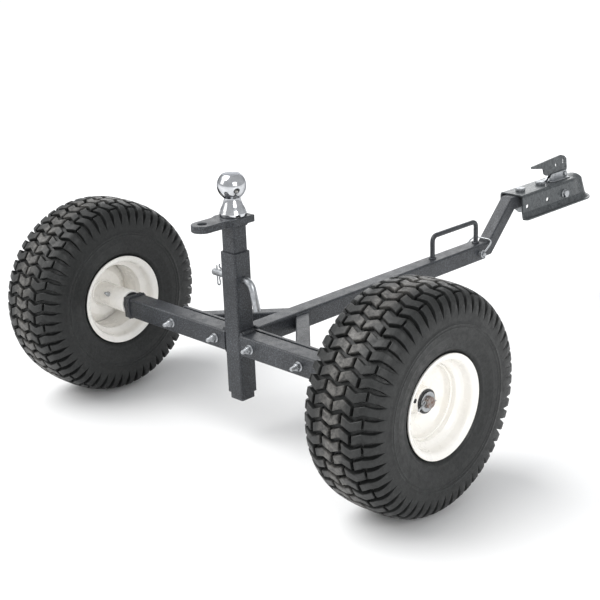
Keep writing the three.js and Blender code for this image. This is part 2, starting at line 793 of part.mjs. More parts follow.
const tyreOutside = [
  [50, 76.5],
  [59.6, 77],
  [59.8, 84],
  [70, 104],
  [TYRE_HALF_W, 130],
  [70.5, 158],
  [62, 177],
  [46, 186],
  [22, 189.8],
];
const tyreInside = [
  [0, 181],
  [44, 177],
  [62, 158],
  [66.5, 128],
  [50, 86],
];
const tyreProfile = [
  ...tyreOutside,
  [0, TYRE_R],
  ...backwards(opposite(tyreOutside)),
  ...backwards(opposite(tyreInside)),
  ...tyreInside.slice(1),
];

const barrelOutside = [
  [66.5, RIM_LIP_R],
  [63, RIM_LIP_R],
  [60, 83.5],
  [60, 76.2],
  [44, 75.8],
  [36, 66],
];
const barrelInside = [
  [66.5, 84],
  [64.2, 84],
  [62.6, 82.2],
  [62.6, 73.6],
  [45.2, 73.2],
  [37.2, 63.4],
];
const barrelProfile = [
  ...barrelOutside,
  ...backwards(opposite(barrelOutside)),
  ...opposite(barrelInside),
  ...backwards(barrelInside),
];

const discProfile = [
  [5, HUB_R + GAP],
  [5, 43],
  [17, 60.1],
  [26, 60.1],
  [26, 63.1],
  [15.2, 63.1],
  [2.2, 45],
  [2.2, HUB_R + GAP],
];

// A flanged bush whose flange covers the hub end at x, its sleeve running inwards from there.
function bush(x, outward) {
  const face = x + outward * GAP;
  const flange = face + outward * BUSH_FLANGE_T;
  const foot = x - outward * (BUSH_LENGTH - BUSH_FLANGE_T);
  return [
    [flange, AXLE_R + GAP],
    [flange, BUSH_FLANGE_R],
    [face, BUSH_FLANGE_R],
    [face, HUB_BORE_R - GAP],
    [foot, HUB_BORE_R - GAP],
    [foot, AXLE_R + GAP],
  ];
}

// The valve stands square on the sloped wall of the barrel, which it leaves at this point.
const valveAt = [40, 70.9];
const valveTurn = -THREE.MathUtils.degToRad(VALVE_ANGLE);
const slope = Math.atan2(9.8, 8); // rise of the barrel's sloped wall
const valveDirection = new THREE.Vector3(Math.sin(slope), Math.cos(slope), 0);
valveDirection.applyAxisAngle(AX, valveTurn);
const valveFoot = new THREE.Vector3(valveAt[0], -valveAt[1], 0)
  .applyAxisAngle(AX, valveTurn)
  .toArray();
const valveProfile = [
  [-8, 0],
  [-8, VALVE_R],
  [-GAP, VALVE_R + 1],
  [-GAP, VALVE_R],
  [3, VALVE_R],
  [9, VALVE_R - 0.6],
  [9, VALVE_R - 1],
  [VALVE_LENGTH - 1, VALVE_R - 1],
  [VALVE_LENGTH, VALVE_R - 2],
  [VALVE_LENGTH, 0],
];
const valveHole = rod(VALVE_R + GAP, valveDirection, -4, 8, valveFoot);

const zerkTurn = THREE.MathUtils.degToRad(ZERK_ANGLE);
const zerkDirection = new THREE.Vector3(0, Math.cos(zerkTurn), Math.sin(zerkTurn));
const zerkProfile = [
  [18, 0],
  [18, ZERK_R],
  [HUB_R + 1, ZERK_R],
  [HUB_R + 1, 4.6],
  [HUB_R + 4, 4.6],
  [HUB_R + 4, 3.2],
  [HUB_R + 9, 2.6],
  [HUB_R + 10.5, 1.6],
  [HUB_R + 10.5, 0],
];

for (const [side, s] of SIDES) {
  const wheel = new THREE.Group();
  wheel.position.set(s * TRACK_HALF, 0, AXLE_RISE);
  wheel.rotation.z = s > 0 ? 0 : Math.PI; // both wheels are one design, turned end for end
  part.add(wheel);
  const centre = [0, 0, 0];
  const round = (points) => turned(points, AX, centre, WHEEL_FACETS);
  piece("tyre_" + side, round(tyreProfile), "tyre", wheel);
  piece("rim_barrel_" + side, cut(round(barrelProfile), valveHole), "rim", wheel);
  piece("wheel_disc_" + side, round(discProfile), "rim", wheel);

  const hub = turned(
    [
      [HUB_OUT, HUB_BORE_R],
      [HUB_OUT, HUB_R],
      [HUB_IN, HUB_R],
      [HUB_IN, HUB_BORE_R],
    ],
    AX,
    centre,
  );
  const greaseHole = rod(ZERK_R + GAP, zerkDirection, HUB_BORE_R - 2, HUB_R + 2, [ZERK_X, 0, 0]);
  piece("hub_tube_" + side, cut(hub, greaseHole), "rim", wheel);
  piece("bush_outer_" + side, turned(bush(HUB_OUT, 1), AX, centre, 24), "black", wheel);
  piece("bush_inner_" + side, turned(bush(HUB_IN, -1), AX, centre, 24), "black", wheel);
  const zerk = turned(zerkProfile, zerkDirection, [ZERK_X, 0, 0], 12);
  piece("grease_nipple_" + side, zerk, "zinc", wheel);
  const valve = turned(valveProfile, valveDirection, valveFoot, 12);
  piece("valve_stem_" + side, valve, "black", wheel);

  const washerFrom = HUB_OUT + BUSH_FLANGE_T + 2 * GAP + TRACK_HALF;
  const washer = turned(
    [
      [washerFrom, AXLE_R + GAP],
      [washerFrom, WASHER_R],
      [washerFrom + WASHER_T, WASHER_R],
      [washerFrom + WASHER_T, AXLE_R + GAP],
    ],
    AX.clone().multiplyScalar(s),
    [0, 0, AXLE_RISE],
    24,
  );
  piece("axle_washer_" + side, washer, "zinc");

  const cotterX = s * COTTER_X;
  const cotter = bentRod(
    COTTER_R,
    [
      [cotterX, AXLE_R + 7, AXLE_RISE - 3],
      [cotterX, AXLE_R + 2, AXLE_RISE],
      [cotterX, -AXLE_R - 3, AXLE_RISE],
      [cotterX, -AXLE_R - 18, AXLE_RISE - 6],
    ],
    2,
    22,
  );
  piece("cotter_pin_" + side, cotter, "zinc");
}

export default part;
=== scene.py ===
"""Looks of a two-wheeled trailer dolly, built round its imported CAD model.

Lengths in this file are millimetres about the centre of the crossbar (X along the axle, +Y towards the
coupler, +Z up) unless a name ends in _m. put() moves them into the row frame, in metres.
"""

import random
from math import cos, exp, pi, radians, sin, sqrt, tan

import bmesh
import bpy
from mathutils import Matrix, Vector
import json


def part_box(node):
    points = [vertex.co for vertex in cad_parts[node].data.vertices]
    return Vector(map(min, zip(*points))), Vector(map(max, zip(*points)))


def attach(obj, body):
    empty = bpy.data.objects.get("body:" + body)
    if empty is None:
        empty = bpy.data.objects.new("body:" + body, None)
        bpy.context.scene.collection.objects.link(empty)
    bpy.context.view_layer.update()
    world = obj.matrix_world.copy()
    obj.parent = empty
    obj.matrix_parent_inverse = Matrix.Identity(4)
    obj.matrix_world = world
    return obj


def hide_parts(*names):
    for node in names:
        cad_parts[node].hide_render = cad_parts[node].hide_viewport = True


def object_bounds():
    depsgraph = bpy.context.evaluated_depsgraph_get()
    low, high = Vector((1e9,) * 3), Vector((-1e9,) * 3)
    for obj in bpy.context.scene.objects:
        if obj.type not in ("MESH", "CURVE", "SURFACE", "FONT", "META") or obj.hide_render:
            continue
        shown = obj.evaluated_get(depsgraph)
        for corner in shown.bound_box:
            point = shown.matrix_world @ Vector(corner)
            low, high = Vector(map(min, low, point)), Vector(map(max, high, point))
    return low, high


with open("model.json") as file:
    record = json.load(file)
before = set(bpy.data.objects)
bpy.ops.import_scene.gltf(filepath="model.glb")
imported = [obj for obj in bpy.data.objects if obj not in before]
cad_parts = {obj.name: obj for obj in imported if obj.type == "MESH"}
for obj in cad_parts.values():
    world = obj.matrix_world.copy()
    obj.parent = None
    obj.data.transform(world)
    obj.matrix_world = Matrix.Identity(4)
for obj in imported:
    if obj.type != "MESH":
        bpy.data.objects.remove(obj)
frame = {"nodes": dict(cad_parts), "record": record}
cad_low, cad_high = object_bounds()
random.seed(11)

# ---- driving dimensions, the same as the CAD model's ----
GAP = 0.3
BAR = 38.1
BAR_WALL = 2.9
BAR_CORNER = 4.5
BAR_END_X = 297.3
PLATE_END_X = 307
END_PLATE = 41
AXLE_R = 9.525
AXLE_RISE = 4
AXLE_IN_X = 240
AXLE_OUT_X = 440.6
COTTER_X = 435.9
WASHER_R = 16.5
WASHER_T = 2.3
TRACK_HALF = 401
TYRE_R = 190.5
HUB_R = 23
HUB_BORE_R = 14.3
HUB_IN = -90.4
HUB_OUT = 27.5
BUSH_FLANGE_R = 20
BUSH_FLANGE_T = 2.5
MAST_TOP = 167.6
MAST_BOTTOM = -96.5
POST = 31.75
POST_WALL = 3.2
POST_BOTTOM = -109
PLATE_TOP = 231.5
PLATE_T = 12.7
EAR_Y = -70.5
EAR_R = 19.5
EAR_HOLE_R = 8.2
BALL_Z = 284.5
BALL_R = 25.4
BALL_FLAT_R = 15.5
BALL_NECK_R = 14.2
BALL_BASE_R = 23.5
PIN_Z = 118
PIN_R = 6.35
HOLE_PITCH = 25.4
POST_HOLES = 7
CLIP_X = -51
FLANGE_HALF = 177.8
FLANGE_T = 6.35
FLANGE_HALF_H = 20
FLANGE_Y = BAR / 2 + GAP
BOLT_XS = (-167, -46, 46, 167)
BOLT_R = 3.97
NUT_R = 7.33
NUT_FLANGE_R = 8.7
TONGUE = 36
TONGUE_Z = 2.2
TONGUE_START = FLANGE_Y + FLANGE_T + GAP
TONGUE_END = 700
BRACE = 25.4
BRACE_SUM = 159.5
HANDLE_R = 5
HANDLE_YS = (542, 688)
HANDLE_TOP = 68
LOCK_Y = 680
LOCK_R = 4.75
BAIL_ANGLE = 33
ARM = 28.6
ARM_START = 560
ARM_END = 945
ARM_Z = 84
ELBOW_1 = 720.7
ELBOW_2 = ELBOW_1 + ARM_Z - TONGUE_Z
COUPLER_START = 816
COUPLER_HALF_W = 30.5
COUPLER_TOP = 101.8
SHEET = 3
COUPLER_FLANGE_Z = 47.5
COUPLER_FLANGE_OUT = 43
SOCKET_Y = 1051
SOCKET_Z = 73.5
COUPLER_BOLT_YS = (848, 924)
COUPLER_BOLT_R = 6.35
COUPLER_HEX_R = 10.9
SIDE_HOLE_YS = (834, 911)
CLAMP_Y = 976
CLAMP_Z = 75
CLAMP_BOLT_R = 5
CLAMP_HEX_R = 8.8
LEVER_Y = 1014
LEVER_Z = 110.5
LEVER_T = 4

SIDES = (("left", -1), ("right", 1))
X, Y, Z = Vector((1, 0, 0)), Vector((0, 1, 0)), Vector((0, 0, 1))
MM = 0.001
MERGE_M = 2e-6

bar_low, bar_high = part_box("crossbar_left")
ORIGIN_M = Vector((0, (bar_low.y + bar_high.y) / 2, (bar_low.z + bar_high.z) / 2))
GROUND_M = cad_low.z


def put(x, y, z):
    """A crossbar-frame point in millimetres as a row-frame point in metres."""
    return ORIGIN_M + Vector((x, y, z)) * MM


def link(thing):
    bpy.context.scene.collection.objects.link(thing)


# ---- camera ----
def make_camera():
    azimuth, elevation, roll = radians(44.16), radians(19.76), radians(-1.66)
    forward = Vector((-sin(azimuth) * cos(elevation), cos(azimuth) * cos(elevation), -sin(elevation)))
    level = Vector((cos(azimuth), sin(azimuth), 0))
    upright = level.cross(forward)
    right = level * cos(roll) + upright * sin(roll)
    up = upright * cos(roll) - level * sin(roll)
    data = bpy.data.cameras.new("camera")
    data.sensor_width = 36
    data.lens = 76.2
    data.shift_x = -0.048
    data.shift_y = 0.0201
    camera = bpy.data.objects.new("camera", data)
    link(camera)
    place = Matrix((right, up, -forward)).transposed().to_4x4()
    place.translation = (1.59068, -1.86005, 0.99663)
    camera.matrix_world = place
    bpy.context.scene.camera = camera


make_camera()


# ---- stage and light ----
def make_stage():
    white = bpy.data.materials.new("floor_white")
    white.use_nodes = True
    shader = white.node_tree.nodes["Principled BSDF"]
    shader.inputs["Base Color"].default_value = (0.9, 0.9, 0.9, 1)
    shader.inputs["Roughness"].default_value = 0.7
    half = 90.0
    mesh = bpy.data.meshes.new("floor")
    corners = [(-half, -half, 0), (half, -half, 0), (half, half, 0), (-half, half, 0)]
    mesh.from_pydata(corners, [], [(0, 1, 2, 3)])
    floor = bpy.data.objects.new("floor", mesh)
    floor.location.z = GROUND_M
    mesh.materials.append(white)
    link(floor)


def aim(lamp, direction):
    lamp.rotation_mode = "QUATERNION"
    lamp.rotation_quaternion = direction.to_track_quat("-Z", "Y")


def area_light(name, place, target, size, power, colour=(1, 1, 1)):
    data = bpy.data.lights.new(name, "AREA")
    data.shape = "RECTANGLE"
    data.size, data.size_y = size
    data.energy = power
    data.color = colour
    lamp = bpy.data.objects.new(name, data)
    lamp.location = place
    aim(lamp, Vector(target) - Vector(place))
    lamp.visible_camera = False
    link(lamp)


def soft_sun(direction, strength, spread):
    data = bpy.data.lights.new("sky_panel", "SUN")
    data.energy = strength
    data.angle = radians(spread)
    lamp = bpy.data.objects.new("sky_panel", data)
    aim(lamp, -Vector(direction))
    link(lamp)


def make_lights():
    world = bpy.data.worlds.new("studio")
    world.use_nodes = True
    background = world.node_tree.nodes["Background"]
    background.inputs["Color"].default_value = (0.97, 0.985, 1.0, 1)
    background.inputs["Strength"].default_value = 0.58
    bpy.context.scene.world = world
    soft_sun((-0.5, -0.45, 1.0), 2.5, 50)
    area_light("back_card", (-2.6, 2.7, 1.4), (0, 0.2, 0.25), (3.0, 2.0), 34)
    area_light("front", (-1.9, -2.9, 1.7), (0, 0, 0.25), (1.8, 1.4), 12, (1, 0.98, 0.95))
    area_light("side", (3.0, -1.2, 1.6), (0.4, -0.4, 0.2), (1.6, 1.4), 36)
    bpy.context.scene.view_settings.view_transform = "Standard"


make_stage()
make_lights()


# ---- materials ----
class Nodes:
    """A small wrapper that adds and links shader nodes."""

    def __init__(self, name):
        self.material = bpy.data.materials.new(name)
        self.material.use_nodes = True
        self.tree = self.material.node_tree
        self.shader = self.tree.nodes["Principled BSDF"]
        coordinates = self.tree.nodes.new("ShaderNodeTexCoord")
        self.where = coordinates.outputs["Object"]

    def add(self, kind, inputs=None, **settings):
        node = self.tree.nodes.new("ShaderNode" + kind)
        for key, value in settings.items():
            setattr(node, key, value)
        for key, value in (inputs or {}).items():
            self.feed(node.inputs[key], value)
        return node

    def feed(self, socket, value):
        """Links another node's output to a socket, or sets the socket to a plain value."""
        if isinstance(value, bpy.types.NodeSocket):
            self.tree.links.new(value, socket)
        else:
            socket.default_value = value

    def noise(self, scale, detail=3.0, rough=0.5, where=None):
        values = {"Vector": where or self.where, "Scale": scale, "Detail": detail, "Roughness": rough}
        return self.add("TexNoise", values).outputs["Fac"]

    def ramp(self, value, stops):
        node = self.add("ValToRGB", {"Fac": value})
        elements = node.color_ramp.elements
        while len(elements) < len(stops):
            elements.new(0.5)
        for element, (position, colour) in zip(elements, stops):
            element.position = position
            element.color = (*colour, 1)
        return node.outputs["Color"]

    def grey(self, value, low, high, start=0.35, end=0.65):
        values = {"Value": value, "From Min": start, "From Max": end, "To Min": low, "To Max": high}
        return self.add("MapRange", values).outputs["Result"]

    def math(self, operation, a, b=0.0):
        node = self.add("Math", operation=operation)
        for socket, value in zip(node.inputs, (a, b)):
            self.feed(socket, value)
        return node.outputs[0]

    def mix(self, factor, a, b, blend="MIX"):
        node = self.add("Mix", data_type="RGBA", blend_type=blend)
        for name, value in (("Factor_Float", factor), ("A_Color", a), ("B_Color", b)):
            socket = next(s for s in node.inputs if s.identifier == name)
            self.feed(socket, (*value, 1) if isinstance(value, tuple) else value)
        return next(s for s in node.outputs if s.identifier == "Result_Color")

    def bump(self, height, strength, distance, after=None):
        values = {"Height": height, "Strength": strength, "Distance": distance}
        if after is not None:
            values["Normal"] = after
        return self.add("Bump", values).outputs["Normal"]

    def radius(self):
        """Distance from the piece's own X axis."""
        split = self.add("SeparateXYZ", {"Vector": self.where})
        flat = self.add("CombineXYZ", {"Y": split.outputs["Y"], "Z": split.outputs["Z"]})
        return self.add("VectorMath", {0: flat.outputs[0]}, operation="LENGTH").outputs["Value"]

    def finish(self, **values):
        for key, value in values.items():
            self.feed(self.shader.inputs[key.replace("_", " ")], value)
        return self.material


def powder_coat(name, dark, light):
    """Satin powder coat: a fine pebbled grain, slow changes of tone, and light dusty scuffs."""
    n = Nodes(name)
    slow = n.ramp(n.noise(14, 4, 0.6), [(0.3, dark), (0.72, light)])
    speckle = n.ramp(n.noise(430, 4, 0.8), [(0.34, (0.4, 0.4, 0.41)), (0.5, (1, 1, 1)),
        (0.64, (3.0, 3.0, 3.05))])
    tone = n.mix(1.0, slow, speckle, "MULTIPLY")
    scuff = n.grey(n.noise(95, 6, 0.7), 0.0, 0.35, 0.62, 0.78)
    colour = n.mix(scuff, tone, tuple(min(1, c * 2.1) for c in light))
    grain = n.noise(1500, 2, 0.5)
    peel = n.noise(420, 3, 0.6)
    roughness = n.grey(n.noise(60, 5, 0.65), 0.36, 0.5)
    normal = n.bump(peel, 0.5, 0.0005, n.bump(grain, 0.32, 0.0002))
    return n.finish(Base_Color=colour, Roughness=roughness, Normal=normal, Specular_IOR_Level=0.45)


def enamel():
    """Gloss off-white enamel over pressed steel, faintly warmer and duller in slow patches."""
    n = Nodes("rim_enamel")
    tone = n.ramp(n.noise(9, 3, 0.5), [(0.3, (0.9, 0.872, 0.815)), (0.7, (0.965, 0.95, 0.92))])
    grime = n.grey(n.noise(160, 6, 0.75), 0.0, 0.16, 0.62, 0.8)
    colour = n.mix(grime, tone, (0.6, 0.56, 0.48))
    roughness = n.grey(n.noise(45, 4, 0.6), 0.2, 0.36)
    normal = n.bump(n.noise(260, 2, 0.4), 0.12, 0.0003)
    return n.finish(Base_Color=colour, Roughness=roughness, Normal=normal, Coat_Weight=0.35,
        Coat_Roughness=0.12)


def tyre_rubber():
    """Black rubber: the middle of the tread is grey-brown with road dust, the outer blocks and lugs are
    bare, and the sidewall carries fine moulded rings."""
    n = Nodes("tyre_rubber")
    radius = n.radius()
    across = n.math("ABSOLUTE", n.add("SeparateXYZ", {"Vector": n.where}).outputs["X"])
    face = n.grey(radius, 0.0, 1.0, 0.1835, 0.1875)
    middle = n.grey(across, 0.85, 0.06, 0.01, 0.03)
    mottle = n.noise(190, 7, 0.8)
    black = n.ramp(mottle, [(0.32, (0.005, 0.0054, 0.0054)), (0.7, (0.024, 0.0256, 0.0252))])
    dusty = n.ramp(n.noise(120, 6, 0.75), [(0.36, (0.016, 0.0158, 0.0152)), (0.7, (0.2, 0.192, 0.18))])
    colour = n.mix(n.math("MULTIPLY", face, middle), black, dusty)
    roughness = n.grey(n.noise(90, 5, 0.7), 0.36, 0.6)
    rings = n.math("SINE", n.math("MULTIPLY", radius, 3600.0))
    normal = n.bump(n.noise(420, 5, 0.7), 0.55, 0.0006, n.bump(rings, 0.1, 0.0002))
    return n.finish(Base_Color=colour, Roughness=roughness, Normal=normal, Specular_IOR_Level=0.4)


def plated(name, dark, light, rough, metallic=0.95):
    """Plated steel: cloudy brightness, fine brushed scratches and a few duller stains."""
    n = Nodes(name)
    tone = n.ramp(n.noise(130, 5, 0.65), [(0.28, dark), (0.72, light)])
    stain = n.grey(n.noise(55, 6, 0.7), 0.0, 0.5, 0.58, 0.76)
    colour = n.mix(stain, tone, tuple(c * 0.62 for c in dark))
    stretch = n.add("Mapping", {"Vector": n.where, "Scale": (1.0, 0.12, 1.0)})
    fine = n.noise(2600, 2, 0.6, stretch.outputs["Vector"])
    roughness = n.grey(n.noise(240, 5, 0.7), *rough)
    normal = n.bump(fine, 0.12, 0.0002, n.bump(n.noise(380, 3, 0.5), 0.1, 0.0003))
    return n.finish(Base_Color=colour, Roughness=roughness, Normal=normal, Metallic=metallic)


def chrome():
    n = Nodes("ball_chrome")
    tone = n.ramp(n.noise(90, 5, 0.6), [(0.3, (0.52, 0.53, 0.55)), (0.7, (0.72, 0.73, 0.75))])
    roughness = n.grey(n.noise(700, 6, 0.7), 0.07, 0.2)
    normal = n.bump(n.noise(1900, 3, 0.6), 0.03, 0.0001)
    return n.finish(Base_Color=tone, Roughness=roughness, Normal=normal, Metallic=1.0,
        Specular_Tint=(0.22, 0.225, 0.235, 1))


def rusty_steel():
    """Bare steel bar, turned bright in places and browned with light rust."""
    n = Nodes("bare_steel")
    rust = n.grey(n.noise(210, 7, 0.75), 0.0, 1.0, 0.42, 0.62)
    steel = n.ramp(n.noise(600, 4, 0.6), [(0.3, (0.26, 0.25, 0.24)), (0.7, (0.42, 0.4, 0.39))])
    brown = n.ramp(n.noise(420, 6, 0.7), [(0.3, (0.075, 0.032, 0.018)), (0.7, (0.2, 0.09, 0.05))])
    metallic = n.math("SUBTRACT", 0.9, n.math("MULTIPLY", rust, 0.8))
    roughness = n.grey(rust, 0.4, 0.8, 0.0, 1.0)
    normal = n.bump(n.noise(1100, 5, 0.7), 0.3, 0.0003)
    return n.finish(Base_Color=n.mix(rust, steel, brown), Roughness=roughness, Normal=normal,
        Metallic=metallic)


def moulded(name, dark, light, rough):
    n = Nodes(name)
    tone = n.ramp(n.noise(150, 5, 0.6), [(0.3, dark), (0.7, light)])
    normal = n.bump(n.noise(1300, 3, 0.6), 0.2, 0.0002)
    return n.finish(Base_Color=tone, Roughness=n.grey(n.noise(200, 4, 0.6), *rough), Normal=normal)


MATERIALS = {"frame_coat": powder_coat("frame_coat", (0.019, 0.021, 0.024), (0.038, 0.041, 0.046)),
    "coupler_steel": plated("coupler_steel", (0.032, 0.036, 0.039), (0.12, 0.131, 0.137), (0.24, 0.42),
    0.4), "rim_paint": enamel(), "tyre_rubber": tyre_rubber(), "zinc_plate": plated("zinc_plate",
    (0.27, 0.283, 0.3), (0.56, 0.575, 0.59), (0.28, 0.5)), "ball_chrome": chrome(),
    "bare_steel": rusty_steel(), "black_bush": moulded("black_bush", (0.012, 0.012, 0.013),
    (0.03, 0.03, 0.032), (0.35, 0.55)), "valve_rubber": moulded("valve_rubber", (0.012, 0.012, 0.012),
    (0.028, 0.028, 0.028), (0.45, 0.65))}
COAT, ZINC, STEEL, PAINT = "frame_coat", "zinc_plate", "coupler_steel", "rim_paint"
BODY_OF = {node: body for body, nodes in frame["record"]["behaviour"]["bodies"].items() for node in nodes}


# ---- mesh helpers ----
SHARP = 38.0


def object_of(bm, name):
    mesh = bpy.data.meshes.new(name)
    bm.to_mesh(mesh)
    bm.free()
    made = bpy.data.objects.new(name, mesh)
    link(made)
    return made


def build(name, verts, faces, slot, node, centre=(0, 0, 0), edge=0.0, sharp=SHARP, hides=False):
    """A finished piece from millimetre points about centre. edge is the width of its rounded edges, and
    hides says that it replaces the node it stands for."""
    bm = bmesh.new()
    made = [bm.verts.new(Vector(v) * MM) for v in verts]
    for face in faces:
        if len(set(face)) > 2:
            try:
                bm.faces.new([made[i] for i in face])
            except ValueError:
                pass
    bmesh.ops.remove_doubles(bm, verts=bm.verts, dist=MERGE_M)
    bmesh.ops.recalc_face_normals(bm, faces=bm.faces)
    piece = object_of(bm, name)
    piece.location = put(*centre)
    dress(piece, slot, node, edge, sharp)
    return replace(piece, node) if hides else piece


def dress(piece, slot, node, edge=0.0, sharp=SHARP):
    """Gives a piece its material, its edges and the body of the node it stands for."""
    mesh = piece.data
    mesh.materials.clear()
    mesh.materials.append(MATERIALS[slot])
    mesh.shade_smooth()
    if edge:
        soften(piece, edge * MM, sharp)
    else:
        mesh.set_sharp_from_angle(angle=radians(sharp))
    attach(piece, BODY_OF[node])
    return piece


def soften(piece, width_m, sharp):
    bevel = piece.modifiers.new("edges", "BEVEL")
    bevel.width = width_m
    bevel.segments = 2
    bevel.limit_method = "ANGLE"
    bevel.angle_limit = radians(sharp)
    piece.modifiers.new("shading", "WEIGHTED_NORMAL").keep_sharp = True


def replace(piece, node):
    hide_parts(node)
    return piece


def drill(piece, *cutters):
    """Cuts round holes: each cutter is (centre, axis, radius, length) in crossbar millimetres."""
    widths = [m.width for m in piece.modifiers if m.type == "BEVEL"]
    piece.modifiers.clear()
    tools = []
    for centre, axis, radius, length in cutters:
        bm = bmesh.new()
        bmesh.ops.create_cone(bm, cap_ends=True, segments=32, radius1=radius * MM, radius2=radius * MM,
            depth=length * MM)
        tool = object_of(bm, "tool")
        tool.matrix_world = Matrix.Translation(put(*centre)) @ Z.rotation_difference(
            Vector(axis)).to_matrix().to_4x4()
        tools.append(tool)
        cutting = piece.modifiers.new("hole", "BOOLEAN")
        cutting.operation = "DIFFERENCE"
        cutting.solver = "EXACT"
        cutting.object = tool
    settle(piece)
    for tool in tools:
        bpy.data.objects.remove(tool)
    for width_m in widths:
        soften(piece, width_m, SHARP)
    return piece


def settle(piece):
    """Applies a piece's modifiers to its mesh."""
    bpy.context.view_layer.update()
    shape = piece.evaluated_get(bpy.context.evaluated_depsgraph_get())
    mesh = bpy.data.meshes.new_from_object(shape)
    piece.modifiers.clear()
    piece.data = mesh
    mesh.name = piece.name


def rounded(points, radius, steps=3, closed=True):
    """A 2-D or 3-D line of points with its corners rounded off."""
    line = [Vector(p) for p in points]
    out = []
    count = len(line)
    for i, corner in enumerate(line):
        if not closed and i in (0, count - 1):
            out.append(corner)
            continue
        back, on = line[i - 1] - corner, line[(i + 1) % count] - corner
        bend = pi - back.angle(on)
        if bend < 0.03:
            out.append(corner)
            continue
        reach = min(radius * tan(bend / 2), back.length * 0.48, on.length * 0.48)
        enter, leave = corner + back.normalized() * reach, corner + on.normalized() * reach
        number = max(2, round(steps * bend / (pi / 2)) + 1)
        for k in range(number + 1):
            t = k / number
            out.append(enter * (1 - t) ** 2 + corner * (2 * t * (1 - t)) + leave * t**2)
    return out


def grid(rows, columns, loop_rows=True, loop_columns=True):
    """Faces between rows of points, with the last row or column joined to the first where asked."""
    faces = []
    for i in range(rows if loop_rows else rows - 1):
        for j in range(columns if loop_columns else columns - 1):
            a, b, k = i * columns, (i + 1) % rows * columns, (j + 1) % columns
            faces.append((a + j, a + k, b + k, b + j))
    return faces


def bent(path, radius, steps):
    """An open path with its bends rounded off."""
    return rounded(path, radius, steps, closed=False)


def turning(points, facets, axis=X, centre=(0, 0, 0), closed=True):
    """Verts and faces of [axial, radius] points turned about an axis."""
    axis = Vector(axis).normalized()
    across = axis.orthogonal().normalized() if abs(axis.x) < 0.99 else Vector((0, -1, 0))
    third = axis.cross(across)
    verts = []
    for i in range(facets):
        angle = 2 * pi * i / facets
        spoke = across * cos(angle) + third * sin(angle)
        for axial, radius in points:
            verts.append(Vector(centre) + axis * axial + spoke * radius)
    return verts, grid(facets, len(points), True, closed)


def turned(name, points, slot, node, axis=X, centre=(0, 0, 0), facets=64, corner=0.6, steps=2):
    """A turned piece; points is a closed loop, or runs from axis to axis."""
    on_axis = abs(points[0][1]) < 1e-6 and abs(points[-1][1]) < 1e-6
    line = rounded(points, corner, steps, closed=not on_axis) if corner else points
    line = [(p[0], max(p[1], 0.0)) for p in line]
    verts, faces = turning(line, facets, axis, (0, 0, 0), closed=not on_axis)
    return build(name, verts, faces, slot, node, centre, hides=True)


def lathe(name, profile, facets, axis, foot, slot, node, centre, sharp=SHARP):
    """A turned piece with one open profile, its axis leaving foot along axis."""
    verts, faces = turning(profile, facets, axis, foot, closed=False)
    return build(name, verts, faces, slot, node, centre, sharp=sharp, hides=True)


def circle(radius, count):
    turns = [2 * pi * k / count for k in range(count)]
    return [(radius * cos(a), radius * sin(a)) for a in turns]


def handed(s, points):
    """A wheel's [axial, radius] points for one side: s is -1 on the left."""
    return [(s * x, r) for x, r in points]


def sweep(path, radius, facets=16, dome=True):
    """Verts and faces of a round rod along a path, its ends softly domed. radius may vary by point."""
    points = [Vector(p) for p in path]
    radii = list(radius) if hasattr(radius, "__len__") else [radius] * len(points)
    first, last = (points[1] - points[0]).normalized(), (points[-1] - points[-2]).normalized()
    if dome:
        r0, r1 = radii[0], radii[-1]
        points = ([points[0], points[0] + first * r0 * 0.1, points[0] + first * r0 * 0.4] + points[1:-1]
            + [points[-1] - last * r1 * 0.4, points[-1] - last * r1 * 0.1, points[-1]])
        radii = [r0 * 0.7, r0 * 0.9, r0] + radii[1:-1] + [r1, r1 * 0.9, r1 * 0.7]
    side = first.orthogonal().normalized()
    verts = []
    before = first
    for i, point in enumerate(points):
        if i == 0:
            tangent = first
        elif i == len(points) - 1:
            tangent = last
        else:
            tangent = (points[i + 1] - points[i - 1]).normalized()
        side = before.rotation_difference(tangent) @ side
        side = (side - tangent * side.dot(tangent)).normalized()
        before = tangent
        third = tangent.cross(side)
        for k in range(facets):
            angle = 2 * pi * k / facets
            verts.append(point + (side * cos(angle) + third * sin(angle)) * radii[i])
    rings = len(points)
    faces = grid(rings, facets, False)
    faces.append(tuple(range(facets - 1, -1, -1)))
    faces.append(tuple(range((rings - 1) * facets, rings * facets)))
    return verts, faces


def rod(name, path, radius, slot, node, facets=20, centre=(0, 0, 0), dome=True, hides=True):
    local = [Vector(p) - Vector(centre) for p in path]
    verts, faces = sweep(local, radius, facets, dome)
    return build(name, verts, faces, slot, node, centre, hides=hides)


def rounded_square(size, corner, steps=5):
    h = size / 2
    corners = [(h - corner, h - corner), (corner - h, h - corner), (corner - h, corner - h)]
    corners.append((h - corner, corner - h))
    out = []
    for quarter, (cx, cy) in enumerate(corners):
        for k in range(steps + 1):
            angle = pi / 2 * (quarter + k / steps)
            out.append((cx + corner * cos(angle), cy + corner * sin(angle)))
    return out


